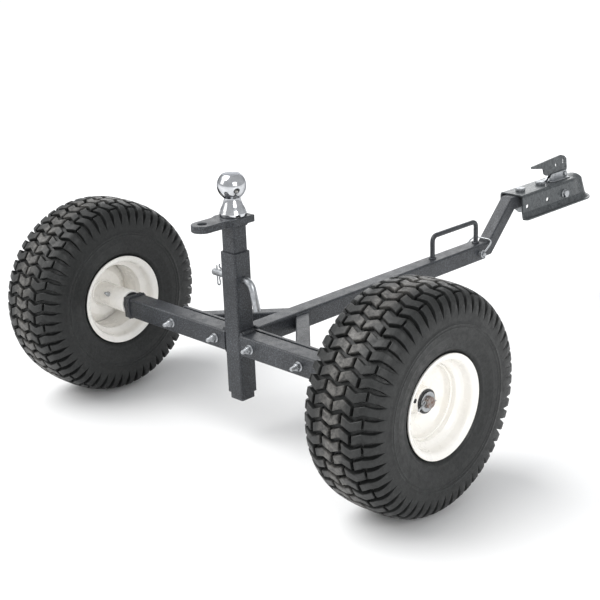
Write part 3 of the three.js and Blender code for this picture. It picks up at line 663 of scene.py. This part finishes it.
def square_tube(name, size, wall, corner, path, across, node, ends=(None, None)):
    """A hollow square tube along straight runs with mitred joints. across is one of its side directions,
    square to every run, and ends may give the planes that its two ends are cut to."""
    path = [Vector(p) for p in path]
    runs = [(b - a).normalized() for a, b in zip(path, path[1:])]
    across = Vector(across)
    planes = [Vector(ends[0]) if ends[0] else runs[0]]
    planes += [(a + b).normalized() for a, b in zip(runs, runs[1:])]
    planes.append(Vector(ends[1]) if ends[1] else runs[-1])
    outer = rounded_square(size, corner)
    inner = rounded_square(size - 2 * wall, max(corner - wall, 0.8))
    count = len(outer)
    verts, faces = [], []
    for outline in (outer, inner):
        for i, (point, plane) in enumerate(zip(path, planes)):
            run = runs[min(i, len(runs) - 1)]
            up = run.cross(across)
            for u, v in outline:
                spot = point + across * u + up * v
                verts.append(spot - run * ((spot - point).dot(plane) / run.dot(plane)))
    layers = len(path)
    shift = layers * count
    for i in range(layers - 1):
        for k in range(count):
            a, b = i * count + k, i * count + (k + 1) % count
            faces.append((a, b, b + count, a + count))
            faces.append((a + shift, a + count + shift, b + count + shift, b + shift))
    for start in (0, (layers - 1) * count):
        for k in range(count):
            a, b = start + k, start + (k + 1) % count
            faces.append((a, a + shift, b + shift, b))
    return build(name, verts, faces, COAT, node, edge=0.5, hides=True)


def plate(name, outline, thickness, slot, node, basis, base, edge=0.7, hides=True):
    """A flat plate: a 2-D outline on basis[0] and basis[1], thick along basis[2] from base."""
    u_axis, v_axis, w_axis = (Vector(b) for b in basis)
    verts = []
    for depth in (0, thickness):
        verts += [Vector(base) + u_axis * p[0] + v_axis * p[1] + w_axis * depth for p in outline]
    count = len(outline)
    faces = [tuple(range(count)), tuple(range(2 * count - 1, count - 1, -1))]
    faces += [(k, k + count, (k + 1) % count + count, (k + 1) % count) for k in range(count)]
    return build(name, verts, faces, slot, node, edge=edge, hides=hides)


def bead(name, path, radius, node, slot=COAT, closed=False):
    """A weld bead: a rod with the even ripples of a run of weld, slightly uneven."""
    line = [Vector(p) for p in path]
    if closed:
        line.append(line[0])
    step = 1.1
    spots, travelled = [], []
    total = 0.0
    for a, b in zip(line, line[1:]):
        length = (b - a).length
        number = max(1, round(length / step))
        for k in range(number):
            spots.append(a.lerp(b, k / number))
            travelled.append(total + length * k / number)
        total += length
    spots.append(line[-1])
    travelled.append(total)
    ripple = 4.4
    radii = [radius * (0.9 + 0.13 * sin(2 * pi * d / ripple) + random.uniform(-0.05, 0.05))
        for d in travelled]
    verts, faces = sweep(spots, radii, 10)
    return build(name, verts, faces, slot, node, sharp=75)


# ---- fasteners ----
def hexagon(name, radius, height, node, axis, centre, bore=0.0, washer=None, collar=None):
    """A hexagon head or nut with chamfered corners; washer and collar add a flange and a lock collar.
    A nut has a bore and replaces its node; a bolt's head has none, and its shank replaces the node."""
    axis = Vector(axis).normalized()
    side = Z if abs(axis.z) < 0.9 else X
    third = axis.cross(side)
    chamfer = radius * 0.13
    rows = [(0, 0.9), (chamfer * 0.5, 1.0), (height - chamfer * 0.6, 1.0), (height, 0.88)]
    sides = 48
    flat = radius * cos(pi / 6)
    verts = []
    for z, scale in rows:
        for k in range(sides):
            angle = 2 * pi * k / sides
            within = (angle + pi / 6) % (pi / 3) - pi / 6
            hexed = flat / cos(within)
            reach = min(hexed, radius * scale * (1.0 if scale == 1.0 else 0.985))
            verts.append((side * cos(angle) + third * sin(angle)) * reach + axis * z)
    inside = max(bore, 0.01)
    for z in (height, 0):
        for k in range(sides):
            angle = 2 * pi * k / sides
            verts.append((side * cos(angle) + third * sin(angle)) * inside + axis * z)
    faces = grid(len(rows) + 2, sides)
    if washer:
        w_radius, w_height = washer
        extra = [(0, inside), (0, w_radius), (w_height * 0.5, w_radius), (w_height * 1.3, radius * 0.86)]
        extra.append((w_height * 1.3, inside))
        add(verts, faces, *turning(extra, 40, axis))
    if collar:
        c_radius, c_height = collar
        extra = [(height - 0.5, inside), (height - 0.5, c_radius),
            (height + c_height * 0.6, c_radius * 0.97), (height + c_height, c_radius * 0.84),
            (height + c_height, inside)]
        add(verts, faces, *turning(extra, 40, axis))
    return build(name, verts, faces, ZINC, node, centre, sharp=32, hides=bore > 0)


def add(verts, faces, more_verts, more_faces):
    shift = len(verts)
    verts.extend(more_verts)
    faces.extend(tuple(i + shift for i in face) for face in more_faces)


def threaded(radius, end, pitch=1.4):
    """The [axial, radius] outline of a threaded shank with a chamfered end."""
    line = [(0, 0), (0, radius)]
    z = 0
    while z < end - 2 * pitch:
        line += [(z + pitch * 0.5, radius * 0.9), (z + pitch, radius)]
        z += pitch
    return line + [(end - 1.2, radius * 0.95), (end, radius * 0.72), (end, 0)]


def shank(radius, length, node, axis, centre):
    return lathe(node + "_shank", threaded(radius, length), 28, axis, (0, 0, 0), ZINC, node, centre,
        sharp=30)


# ---- crossbar, end plates, axles, mast ----
def make_axle_frame():
    half = END_PLATE / 2
    for side, s in SIDES:
        start, end = s * (BAR / 2 + GAP), s * (BAR_END_X - GAP)
        bar = "crossbar_" + side
        square_tube(bar + "_tube", BAR, BAR_WALL, BAR_CORNER, [(start, 0, 0), (end, 0, 0)], Y, bar)
        outline = rounded([(-half, -half), (half, -half), (half, half), (-half, half)], 2.4, 3)
        end_plate = "end_plate_" + side
        base = (BAR_END_X if s > 0 else -PLATE_END_X, 0, 0)
        slab = PLATE_END_X - BAR_END_X
        plate(end_plate + "_slab", outline, slab, COAT, end_plate, (Y, Z, X), base, 1.0)
        reach = BAR / 2 + 0.8
        ring = rounded_square(2 * reach, BAR_CORNER + 0.8, 4)
        x = s * (BAR_END_X - 2.4)
        bead("weld_end_" + side, [(x, y, z) for y, z in ring], 3.2, end_plate, closed=True)
        x = s * (PLATE_END_X + 0.8)
        ring = [(x, y, AXLE_RISE + z) for y, z in circle(AXLE_R + 1.4, 32)]
        bead("weld_axle_" + side, ring, 2.4, end_plate, closed=True)
        turned("stub_axle_" + side + "_bar", [(s * AXLE_IN_X, 0), (s * AXLE_IN_X, AXLE_R),
            (s * AXLE_OUT_X, AXLE_R), (s * AXLE_OUT_X, 0)], "bare_steel", "stub_axle_" + side, X,
            (0, 0, AXLE_RISE), 48, 1.3)
        x = s * (BAR / 2 + 1.2)
        top = BAR / 2 - 0.4
        for place, z in (("top", top + 0.6), ("bottom", -top - 0.6)):
            path = [(x, y, z) for y in (-16.5, 16.5)]
            bead(f"weld_mast_{place}_{side}", path, 6.2 if place == "top" else 3.0, bar)
        path = [(x, -BAR / 2 + 0.4, z) for z in (-16, 16)]
        bead(f"weld_mast_front_{side}", path, 1.5, bar)

    sleeve = square_tube("mast_sleeve_tube", BAR, BAR_WALL, BAR_CORNER,
        [(0, 0, MAST_BOTTOM), (0, 0, MAST_TOP)], X, "mast_sleeve")
    drill(sleeve, ((0, 0, PIN_Z), X, PIN_R + 0.4, 80))


def make_post():
    top = PLATE_TOP - PLATE_T - GAP
    post = square_tube("ball_post_tube", POST, POST_WALL, BAR_CORNER - 1,
        [(0, 0, POST_BOTTOM), (0, 0, top)], X, "ball_post")
    drill(post, *[((0, 0, PIN_Z - i * HOLE_PITCH), X, PIN_R + 0.4, 80) for i in range(POST_HOLES)])
    half, neck = 25.4, EAR_R
    outline = [(-half, 27), (-half, -22), (-neck, -34), (-neck, EAR_Y)]
    soft = bent(outline, 9, 5)
    turn = [pi + pi * k / 24 for k in range(1, 24)]
    arc = [(EAR_R * cos(a), EAR_Y + EAR_R * sin(a)) for a in turn]
    mirrored = [(-p[0], p[1]) for p in reversed(soft)]
    shape = soft + arc + mirrored
    ball_plate = plate("ball_plate_slab", shape, PLATE_T, COAT, "ball_plate", (X, Y, Z),
        (0, 0, PLATE_TOP - PLATE_T), 1.3)
    drill(ball_plate, ((0, EAR_Y, PLATE_TOP), Z, EAR_HOLE_R, 60))
    reach = POST / 2 + 1.2
    ring = [(x, y, top - 1.6) for x, y in rounded_square(2 * reach, 4.4, 4)]
    bead("weld_plate", ring, 3.0, "ball_plate", closed=True)

    flat = sqrt(BALL_R**2 - BALL_FLAT_R**2)
    low = -sqrt(BALL_R**2 - BALL_NECK_R**2)
    arc = []
    steps = 40
    for k in range(steps + 1):
        z = low + (flat - low) * (1 - cos(pi * k / steps)) / 2
        arc.append((BALL_Z + z, sqrt(BALL_R**2 - z * z)))
    base = PLATE_TOP + GAP
    lower = [(PLATE_TOP - PLATE_T - 10, 0), (PLATE_TOP - PLATE_T - 10, AXLE_R), (base, AXLE_R),
        (base, BALL_BASE_R), (base + 5.5, BALL_BASE_R), (base + 7.5, 22.7), (base + 12, 21.3),
        (base + 18, 18.2), (base + 24, 16.0), (base + 29, 14.4)]
    soft = bent(lower, 1.2, 3)
    crown = [(BALL_Z + flat + 0.35, BALL_FLAT_R - 0.9), (BALL_Z + flat + 0.4, BALL_FLAT_R - 3)]
    crown += [(BALL_Z + flat + 0.1, BALL_FLAT_R - 4.5), (BALL_Z + flat + 0.1, 0)]
    turned("hitch_ball_turned", soft + arc + crown, "ball_chrome", "hitch_ball", Z, (0, 0, 0), 96, 0)


def make_hitch_pin():
    path = bent([(-60, 0, PIN_Z), (37, 0, PIN_Z), (50, 0, 66)], 20, 9)
    rod("hitch_pin_bar", path, PIN_R, ZINC, "hitch_pin", 28, (0, 0, PIN_Z))
    bow = PIN_R + 3.6
    wire = [(CLIP_X, 0, PIN_Z + 13), (CLIP_X, 0, PIN_Z - 22), (CLIP_X, 3.5, PIN_Z - 25.5),
        (CLIP_X, 7, PIN_Z - 22), (CLIP_X, 4.5, PIN_Z - 12), (CLIP_X, bow, PIN_Z - 4),
        (CLIP_X, bow, PIN_Z + 4), (CLIP_X, 5, PIN_Z + 10), (CLIP_X, 7, PIN_Z + 14)]
    path = bent(wire, 4, 5)
    rod("hitch_pin_clip_wire", path, 1.3, ZINC, "hitch_pin_clip", 12, (0, 0, PIN_Z))


# ---- flange bar and its bolts ----
def make_flange():
    outline = [(-FLANGE_HALF, -FLANGE_HALF_H), (FLANGE_HALF, -FLANGE_HALF_H),
        (FLANGE_HALF, FLANGE_HALF_H), (-FLANGE_HALF, FLANGE_HALF_H)]
    plate("flange_bar_strip", rounded(outline, 2, 3), FLANGE_T, COAT, "flange_bar", (X, Z, Y),
        (0, FLANGE_Y, 0), 0.8)
    head_y = FLANGE_Y + FLANGE_T + GAP
    for i, x in enumerate(BOLT_XS, 1):
        bolt, nut = f"frame_bolt_{i}", f"frame_nut_{i}"
        shank(BOLT_R, 38 + head_y, bolt, -Y, (x, head_y, 0))
        hexagon(bolt + "_head", NUT_R, 5.3, bolt, Y, (x, head_y, 0))
        washer, collar = (NUT_FLANGE_R, 1.6), (6.1, 2.1)
        hexagon(nut + "_hex", NUT_R, 6.9, nut, -Y, (x, -BAR / 2 - GAP, 0), BOLT_R + GAP, washer, collar)


# ---- drawbar, braces, handle, arm ----
def make_drawbar():
    square_tube("drawbar_tube_long", TONGUE, 3.4, BAR_CORNER, [(0, TONGUE_START, TONGUE_Z),
        (0, TONGUE_END, TONGUE_Z)], X, "drawbar_tube")
    half = TONGUE / 2
    for side, s in SIDES:
        node = "brace_" + side
        at_tongue = (s * (half + GAP), BRACE_SUM - half - GAP, TONGUE_Z)
        at_flange = (s * (BRACE_SUM - TONGUE_START), TONGUE_START, TONGUE_Z)
        square_tube(node + "_tube", BRACE, 2.6, 3.2, [at_flange, at_tongue], Z, node, (-Y, -s * X))
        spread = BRACE / sqrt(2) - 1.5
        for place, z in (("top", TONGUE_Z + BRACE / 2), ("under", TONGUE_Z - BRACE / 2)):
            y = at_tongue[1]
            path = [(s * (half + 0.6), y - spread, z), (s * (half + 0.6), y + spread, z)]
            bead(f"weld_brace_tongue_{place}_{side}", path, 2.5, node)
            x = at_flange[0]
            path = [(x - spread, TONGUE_START + 0.6, z), (x + spread, TONGUE_START + 0.6, z)]
            bead(f"weld_brace_flange_{place}_{side}", path, 2.5, node)
    ring = [(x, TONGUE_START + 1.4, TONGUE_Z + z) for x, z in rounded_square(TONGUE + 2, 5, 4)]
    bead("weld_drawbar", ring, 3.0, "drawbar_tube", closed=True)

    foot = TONGUE_Z + half + GAP
    y0, y1 = HANDLE_YS
    path = bent([(0, y0, foot), (0, y0, HANDLE_TOP), (0, y1, HANDLE_TOP), (0, y1, foot)], 14, 9)
    rod("lift_handle_bar", path, HANDLE_R, COAT, "lift_handle", 24, dome=False)
    for i, y in enumerate(HANDLE_YS, 1):
        ring = [(a, y + b, foot + 0.8) for a, b in circle(HANDLE_R + 1, 24)]
        bead(f"weld_handle_{i}", ring, 2.3, "lift_handle", closed=True)
    square_tube("crank_arm_tube", ARM, 3, 3.5, [(0, ARM_START, TONGUE_Z), (0, ELBOW_1, TONGUE_Z),
        (0, ELBOW_2, ARM_Z), (0, ARM_END, ARM_Z)], X, "crank_arm")


def make_lock_pin():
    centre = (0, LOCK_Y, TONGUE_Z)
    turned("lock_pin_turned", [(-33, 0), (-33, LOCK_R + 2), (-30, LOCK_R + 2), (-29, LOCK_R),
        (29.5, LOCK_R), (33, LOCK_R - 2.2), (33, 0)], ZINC, "lock_pin", X, centre, 32, 0.5)
    tilt = radians(BAIL_ANGLE)
    wire_r, eye_r, width, reach = 1.8, LOCK_R + 2.2, 27.0, 41.0

    def lay(x, along, off=0.0):
        return (x, LOCK_Y + along * cos(tilt) - off * sin(tilt), TONGUE_Z + along * sin(tilt) + off
            * cos(tilt))

    def eye(x):
        turn = [2 * pi * k / 20 for k in range(18)]
        return [lay(x, eye_r * cos(a), eye_r * sin(a)) for a in turn]

    legs = [(-width, 9), (-width, reach), (width, reach), (width, 9)]
    arch = bent([lay(x, a) for x, a in legs], 15, 8)
    path = list(reversed(eye(-width))) + arch + eye(width)
    rod("lock_bail_wire", path, wire_r, ZINC, "lock_bail", 12, centre)


# ---- coupler ----
def coupler_sections():
    """Half-sections from the flange's edge up over to the crown, for each station along the spine."""
    t = SHEET / 2
    floor = COUPLER_FLANGE_Z + t
    wall = COUPLER_HALF_W - t
    top = COUPLER_TOP - t
    box = [(COUPLER_FLANGE_OUT, floor), (wall + 6.5, floor), (wall, floor + 13), (wall, top), (0, top)]
    soft = bent(box, 5, 6)
    knee = next(i for i, p in enumerate(soft) if p[1] > floor + 16)
    flange, shell = soft[:knee], soft[knee:]
    spot, length = by_length(shell)
    samples = 26
    box_line = [spot(length * k / samples)[0] for k in range(samples + 1)]
    radius = wall
    upright = SOCKET_Z - shell[0].y
    arc = radius * pi / 2
    dome_line = []
    for k in range(samples + 1):
        d = (upright + arc) * k / samples
        if d <= upright:
            dome_line.append(Vector((radius, shell[0].y + d)))
        else:
            a = (d - upright) / radius
            dome_line.append(Vector((radius * cos(a), SOCKET_Z + radius * sin(a))))
    return flange, box_line, dome_line


def make_coupler():
    flange, box_line, dome_line = coupler_sections()
    rows = []
    ys = [COUPLER_START + k * 2.0 for k in range(5)]
    ys += [COUPLER_START + 8 + (SOCKET_Y - COUPLER_START - 8) * k / 40 for k in range(1, 41)]

    def half_section(y):
        blend = smoothstep((y - 1008) / (SOCKET_Y - 1008))
        cut_back = max(0.0, 8 - (y - COUPLER_START))
        trim = 8 - sqrt(max(64 - cut_back**2, 0.0))
        edge = [(max(p.x - trim, min(p.x, COUPLER_HALF_W)), p.y) for p in flange]
        return edge + [tuple(a.lerp(b, blend)) for a, b in zip(box_line, dome_line)]

    for y in ys[:-1]:
        rows.append([(-d, y, z) for d, z in half_section(y)])
    last = half_section(SOCKET_Y)
    turns = 40
    for k in range(turns + 1):
        a = pi * k / turns
        rows.append([(-d * cos(a), SOCKET_Y + d * sin(a), z) for d, z in last])
    for y in reversed(ys[:-1]):
        rows.append([(d, y, z) for d, z in half_section(y)])
    verts = [p for row in rows for p in row]
    faces = grid(len(rows), len(rows[0]), False, False)
    shell = build("coupler_shell", verts, faces, STEEL, "coupler_body", sharp=60)
    thick = shell.modifiers.new("sheet", "SOLIDIFY")
    thick.thickness = SHEET * MM
    thick.offset = 0
    settle(shell)
    drill(shell, *[((0, y, CLAMP_Z), X, 5.5, 120) for y in SIDE_HOLE_YS])
    dress(shell, STEEL, "coupler_body", 0.5, 48)
    replace(shell, "coupler_body")

    for i, y in enumerate(COUPLER_BOLT_YS, 1):
        bolt, nut = f"coupler_bolt_{i}", f"coupler_nut_{i}"
        head_z, nut_z = COUPLER_TOP + GAP, ARM_Z - ARM / 2 - GAP
        shank(COUPLER_BOLT_R, head_z - nut_z + 15, bolt, -Z, (0, y, head_z))
        hexagon(bolt + "_head", COUPLER_HEX_R, 7, bolt, Z, (0, y, head_z))
        hexagon(nut + "_hex", COUPLER_HEX_R, 11, nut, -Z, (0, y, nut_z), 6.65)
    side = COUPLER_HALF_W + GAP
    near, far = (side, CLAMP_Y, CLAMP_Z), (-side, CLAMP_Y, CLAMP_Z)
    shank(CLAMP_BOLT_R, 2 * side + 12, "clamp_bolt", -X, near)
    hexagon("clamp_bolt_head", CLAMP_HEX_R, 8, "clamp_bolt", X, near, 0, (9.8, 1.8))
    hexagon("clamp_nut_hex", CLAMP_HEX_R, 8, "clamp_nut", -X, far, CLAMP_BOLT_R + GAP)


def make_ball_clamp():
    """The jaw keeps its CAD shape, with merged faces and rounded edges."""
    node = "ball_clamp"
    bm = bmesh.new()
    bm.from_mesh(frame["nodes"][node].data)
    bmesh.ops.remove_doubles(bm, verts=bm.verts, dist=MERGE_M)
    bmesh.ops.dissolve_limit(bm, angle_limit=radians(1.5), verts=bm.verts, edges=bm.edges,
        use_dissolve_boundaries=False)
    replace(dress(object_of(bm, node + "_part"), STEEL, node, 0.8, 30), node)


def make_latch():
    ear_t, gap = 3.0, LEVER_T / 2 + GAP
    base_z = COUPLER_TOP + GAP
    ear = [(950, base_z), (LEVER_Y + 8, base_z), (LEVER_Y + 8, LEVER_Z + 4), (LEVER_Y + 4, LEVER_Z + 8),
        (962, LEVER_Z + 8), (950, base_z + 4.2)]
    for name, x in (("latch_ear_near", gap), ("latch_ear_far", -gap - ear_t)):
        plate(name, rounded(ear, 3, 3), ear_t, ZINC, "latch_bracket", (Y, Z, X), (x, 0, 0), 0.6, False)
    base = [(-16, 952), (16, 952), (16, LEVER_Y + 6), (-16, LEVER_Y + 6)]
    plate("latch_bracket_foot", rounded(base, 3, 3), 2, ZINC, "latch_bracket", (X, Y, Z), (0, 0, base_z),
        0.5)
    turned("latch_pin_rivet", [(-9, 0), (-9, 4.4), (-7.2, 5.0), (-6.2, 5.0), (-6.2, 3), (6.2, 3),
        (6.2, 5), (7.2, 5), (9, 4.4), (9, 0)], ZINC, "latch_pin", X, (0, LEVER_Y, LEVER_Z), 28, 0.5)
    outline = [(887, 148), (888, 143.5), (893, 142.4), (933, 135.4), (937, 122), (945.6, 117.2),
        (980, 110), (1008.5, 106.5), (1014, 104.3), (1019.5, 107.5), (1027, 119), (1024, 143.7),
        (1015.4, 151), (1001.8, 155.3)]
    lever = plate("latch_lever_plate", rounded(outline, 5, 4), LEVER_T, STEEL, "latch_lever", (Y, Z, X),
        (-LEVER_T / 2, 0, 0), 0.7)
    holes = [(983, 135, 4.2), (1011.5, 136.5, 3.6), (1011.5, 141.5, 3.6), (1018.7, 124, 2.6)]
    drill(lever, *[((0, y, z), X, r, 30) for y, z, r in holes])


# ---- wheels ----
STRIPS = 54
STRIP_ANGLE = 2 * pi / STRIPS
TREAD_PHASE = radians(1.9)
SLOTS = ((0.0, 2.9), (18.8, 3.1), (38.6, 3.0), (58.8, 2.1))
GROOVE_DEPTH = 8.5
LUG_END = 99.0

TYRE_CURVE = ((0, 190.5), (20, 190.1), (38, 188.3), (53, 184.2), (63.5, 177.2), (69.6, 167), (72.4, 152),
    (73, 133), (71.3, 114), (67.6, 99), (64.6, 91.5), (61.5, 88.2), (59.7, 84), (59.6, 77), (50, 76.5))


def smooth_curve(points, per=24):
    """A Catmull-Rom line through the points, mirrored at its first point."""
    line = [Vector(p) for p in points]
    ends = [Vector((-line[1].x, line[1].y))] + line + [line[-1] * 2 - line[-2]]
    out = []
    for i in range(1, len(ends) - 2):
        a, b, c, d = ends[i - 1 : i + 3]
        for k in range(per):
            t = k / per
            out.append(0.5 * (2 * b + (c - a) * t + (2 * a - 5 * b + 4 * c - d) * t**2
                + (3 * b - a - 3 * c + d) * t**3))
    out.append(line[-1])
    return out


def by_length(points):
    """A function from arc length to (point, outward normal) along a curve."""
    lengths = [0.0]
    for a, b in zip(points, points[1:]):
        lengths.append(lengths[-1] + (b - a).length)

    def spot(distance):
        low, high = 0, len(lengths) - 2
        while low < high:
            middle = (low + high + 1) // 2
            if lengths[middle] <= distance:
                low = middle
            else:
                high = middle - 1
        a, b = points[low], points[low + 1]
        t = (distance - lengths[low]) / max(lengths[low + 1] - lengths[low], 1e-9)
        tangent = (b - a).normalized()
        return a.lerp(b, min(t, 1.0)), Vector((-tangent.y, tangent.x))

    return spot, lengths[-1]


def smoothstep(value):
    t = min(max(value, 0.0), 1.0)
    return t * t * (3 - 2 * t)


def zigzag(s):
    """How far the lateral grooves wander round the tyre at arc length s from the crown."""
    swing = 4.2
    stops = [(0, -swing), (19, swing), (38.6, -swing), (57, swing * 0.8), (LUG_END, swing * 0.2)]
    s = abs(s)
    for (s0, v0), (s1, v1) in zip(stops, stops[1:]):
        if s <= s1:
            return v0 + (v1 - v0) * (s - s0) / (s1 - s0)
    return stops[-1][1]


def tread_rows():
    """Arc lengths of the rows of points, from the crown outwards, with the slots' edges among them."""
    rows = {0.0, 10.0, 28.0, 29.5, 48.0, 50.0, 64.0, 67.0, 70.0, 73.0, 76.0, 80.0, 84.0, 88.0, 92.0, 96.0}
    for centre, half in SLOTS:
        for offset in (half - 0.7, half, half + 1.0):
            rows.update((centre + offset, centre - offset))
        rows.add(centre)
    rows = sorted(r for r in rows if r >= 0)
    return rows + [LUG_END]


def slot_height(s, odd):
    """1 on the running face, 0 in a slot, part way on its wall."""
    s = abs(s)
    for i, (centre, half) in enumerate(SLOTS):
        if (i % 2 == 1) != odd:
            continue
        offset = abs(s - centre)
        if offset < half - 0.35:
            return 0.0
        if offset < half + 0.5:
            return 0.9
    return 1.0


def groove_half(s):
    """Half the groove's width as a share of a strip."""
    s = abs(s)
    wide = 0.175 + 0.01 * smoothstep((s - 42) / 20)
    return wide * (1 - 0.93 * smoothstep((s - 76) / (LUG_END - 76)))


def groove_depth(s):
    return GROOVE_DEPTH * (1 - smoothstep((abs(s) - 76) / (LUG_END - 76)))


def tyre_mesh():
    spot, length = by_length(smooth_curve(TYRE_CURVE))
    outer = tread_rows()
    rest = [LUG_END + (length - LUG_END) * k / 46 for k in range(1, 47)]
    half_rows = outer + rest
    rows = [-s for s in reversed(half_rows[1:])] + half_rows
    columns = [(strip, strip % 2 == 1, kind) for strip in range(STRIPS) for kind in range(8)]
    verts = []
    for s in rows:
        point, normal = spot(abs(s))
        if s < 0:
            point, normal = Vector((-point.x, point.y)), Vector((-normal.x, normal.y))
        half, depth, wander = groove_half(s), groove_depth(s), zigzag(s)
        wall = min(0.045, half * 0.5)
        shares = (0.0, half - wall, half, half + 0.045, 0.5, 1 - half - 0.045, 1 - half, 1 - half + wall)
        heights = (0.0, 0.0, 0.9, 1.0, 1.0, 1.0, 0.9, 0.0)
        ridge = sidewall_relief(abs(s), length)
        for strip, odd, kind in columns:
            height = heights[kind]
            if height > 0:
                height = min(height, slot_height(s, odd))
            sunk = point - normal * (depth * (1 - height) - ridge)
            angle = TREAD_PHASE + (strip - 0.5 + shares[kind]) * STRIP_ANGLE + wander / TYRE_R
            verts.append((sunk.x, -sunk.y * cos(angle), sunk.y * sin(angle)))
    flank = [(50, 86), (66, 128), (61.5, 158), (44, 176)]
    inner = flank + [(0, 180)] + handed(-1, reversed(flank))
    spread = (0, 0.1, 0.2, 0.35, 0.5, 0.65, 0.8, 0.9)
    for axial, radius in inner:
        for strip, odd, kind in columns:
            angle = TREAD_PHASE + (strip - 0.5 + spread[kind]) * STRIP_ANGLE
            verts.append((axial, -radius * cos(angle), radius * sin(angle)))
    return verts, grid(len(rows) + len(inner), len(columns))


def sidewall_relief(s, length):
    """Raised rings on the sidewall: a thin rib below the lugs and a rim guard near the bead."""
    ribs = ((LUG_END + 12, 1.6, 1.3), (LUG_END + 18, 1.1, 0.8), (LUG_END + 30, 1.2, 0.5),
        (length - 30, 2.6, 1))
    return sum(height * exp(-(((s - centre) / width) ** 2)) for centre, width, height in ribs)


def make_wheels():
    tyre_verts, tyre_faces = tyre_mesh()
    for side, s in SIDES:
        centre = (s * TRACK_HALF, 0, AXLE_RISE)

        def wheel_part(kind, word, profile, slot, facets, corner, steps=2):
            node = f"{kind}_{side}"
            turned(f"{node}_{word}", handed(s, profile), slot, node, X, centre, facets, corner, steps)

        tyre = "tyre_" + side
        build(tyre + "_treaded", tyre_verts, tyre_faces, "tyre_rubber", tyre, centre, sharp=34,
            hides=True)

        lip = 86.6
        outside = [(66.5, lip - 1.6), (66.0, lip), (63.4, lip), (60.8, 84.4), (60.1, 81), (59.6, 76.5),
            (46, 75.8), (41, 72.5), (36, 66)]
        inside = [(66.5, 84.6), (65.6, 83.4), (64.4, 81.2), (63.2, 78.6), (61.4, 76.2), (58, 74.6),
            (52, 73.8), (46.5, 72.6), (42, 69.2), (37.2, 63.4)]
        loop = outside + handed(-1, reversed(outside)) + handed(-1, inside) + inside[::-1]
        turned(f"rim_barrel_{side}_rolled", loop, PAINT, "rim_barrel_" + side, X, centre, 120, 2.2, 4)
        disc = [(5, HUB_R + GAP), (5, 43), (16.5, 59), (20, 60.1), (27, 60.1), (27, 63.3), (15.2, 63.3),
            (2.2, 45), (2.2, HUB_R + GAP)]
        wheel_part("wheel_disc", "pressed", disc, PAINT, 120, 3.5, 4)
        hub = [(HUB_OUT, HUB_BORE_R), (HUB_OUT, HUB_R), (HUB_IN, HUB_R), (HUB_IN, HUB_BORE_R)]
        wheel_part("hub_tube", "turned", hub, PAINT, 72, 0.8)
        for name, x in (("outer", 5.6), ("inner", 1.4)):
            ring = [(centre[0] + s * x, y, AXLE_RISE + z) for y, z in circle(HUB_R + 1.2, 60)]
            bead(f"weld_hub_{name}_{side}", ring, 2.6, "hub_tube_" + side, PAINT, closed=True)
        ring = [(centre[0] + s * 27.4, y, AXLE_RISE + z) for y, z in circle(62.4, 120)]
        bead(f"weld_disc_{side}", ring, 2.6, "wheel_disc_" + side, PAINT, closed=True)

        for name, x, outward in (("outer", HUB_OUT, 1), ("inner", HUB_IN, -1)):
            face = x + outward * GAP
            cap, end = face + outward * BUSH_FLANGE_T, x - outward * 25
            profile = [(cap, AXLE_R + GAP), (cap, BUSH_FLANGE_R), (face, BUSH_FLANGE_R),
                (face, HUB_BORE_R - GAP), (end, HUB_BORE_R - GAP), (end, AXLE_R + GAP)]
            wheel_part("bush_" + name, "moulded", profile, "black_bush", 56, 0.6)
        near = HUB_OUT + BUSH_FLANGE_T + 2 * GAP
        far = near + WASHER_T
        profile = [(near, AXLE_R + GAP), (near, WASHER_R), (far, WASHER_R), (far, AXLE_R + GAP)]
        wheel_part("axle_washer", "disc", profile, ZINC, 56, 0.5)
        make_nipple_and_valve(side, s, centre)
        make_cotter(side, s)


def make_nipple_and_valve(side, s, centre):
    up = radians(30)
    direction = Vector((0, s * cos(up), sin(up)))
    profile = [(18, 0), (18, 3), (HUB_R + 0.6, 3), (HUB_R + 0.6, 4.8), (HUB_R + 3.8, 4.8),
        (HUB_R + 4.4, 3.3), (HUB_R + 6, 2.5), (HUB_R + 7.4, 2.4), (HUB_R + 8.2, 3.1), (HUB_R + 10.2, 2.0),
        (HUB_R + 10.5, 0)]
    node = "grease_nipple_" + side
    lathe(node + "_turned", profile, 24, direction, (s * -46, 0, 0), ZINC, node, centre)

    up = Matrix.Rotation(radians(-s * 25), 3, "X")
    direction = up @ Vector((s * 0.775, s * 0.632, 0))
    foot = up @ Vector((s * 40, -s * 70.9, 0))
    profile = [(-6, 0), (-6, 4.6), (-0.5, 5.4), (0.6, 6.2), (3.0, 5.6), (5, 4.5), (9, 4.0), (9.2, 3.5),
        (17, 3.5), (18, 2.6), (18, 0)]
    node = "valve_stem_" + side
    lathe(node + "_moulded", profile, 28, direction, foot, "valve_rubber", node, centre)


def make_cotter(side, s):
    """A split pin: a straight shank through the axle, an eye at one end and the legs bent away."""
    x, node = s * COTTER_X, "cotter_pin_" + side
    wire = [(16.5, 1.0), (AXLE_R + 2, 4), (-AXLE_R - 3, 4.4), (-27.5, -2.2)]
    path = bent([(x, y, z) for y, z in wire], 2, 5)
    rod(node + "_leg", path, 1.25, ZINC, node, 14, hides=False)
    turn = [2 * pi * k / 20 for k in range(21)]
    loop = [(x, -13.2 + 3.2 * cos(a), 6.6 + 3.2 * sin(a)) for a in turn]
    rod(node + "_eye", loop, 1.15, ZINC, node, 12)


make_axle_frame()
make_post()
make_hitch_pin()
make_flange()
make_drawbar()
make_lock_pin()
make_coupler()
make_ball_clamp()
make_latch()
make_wheels()
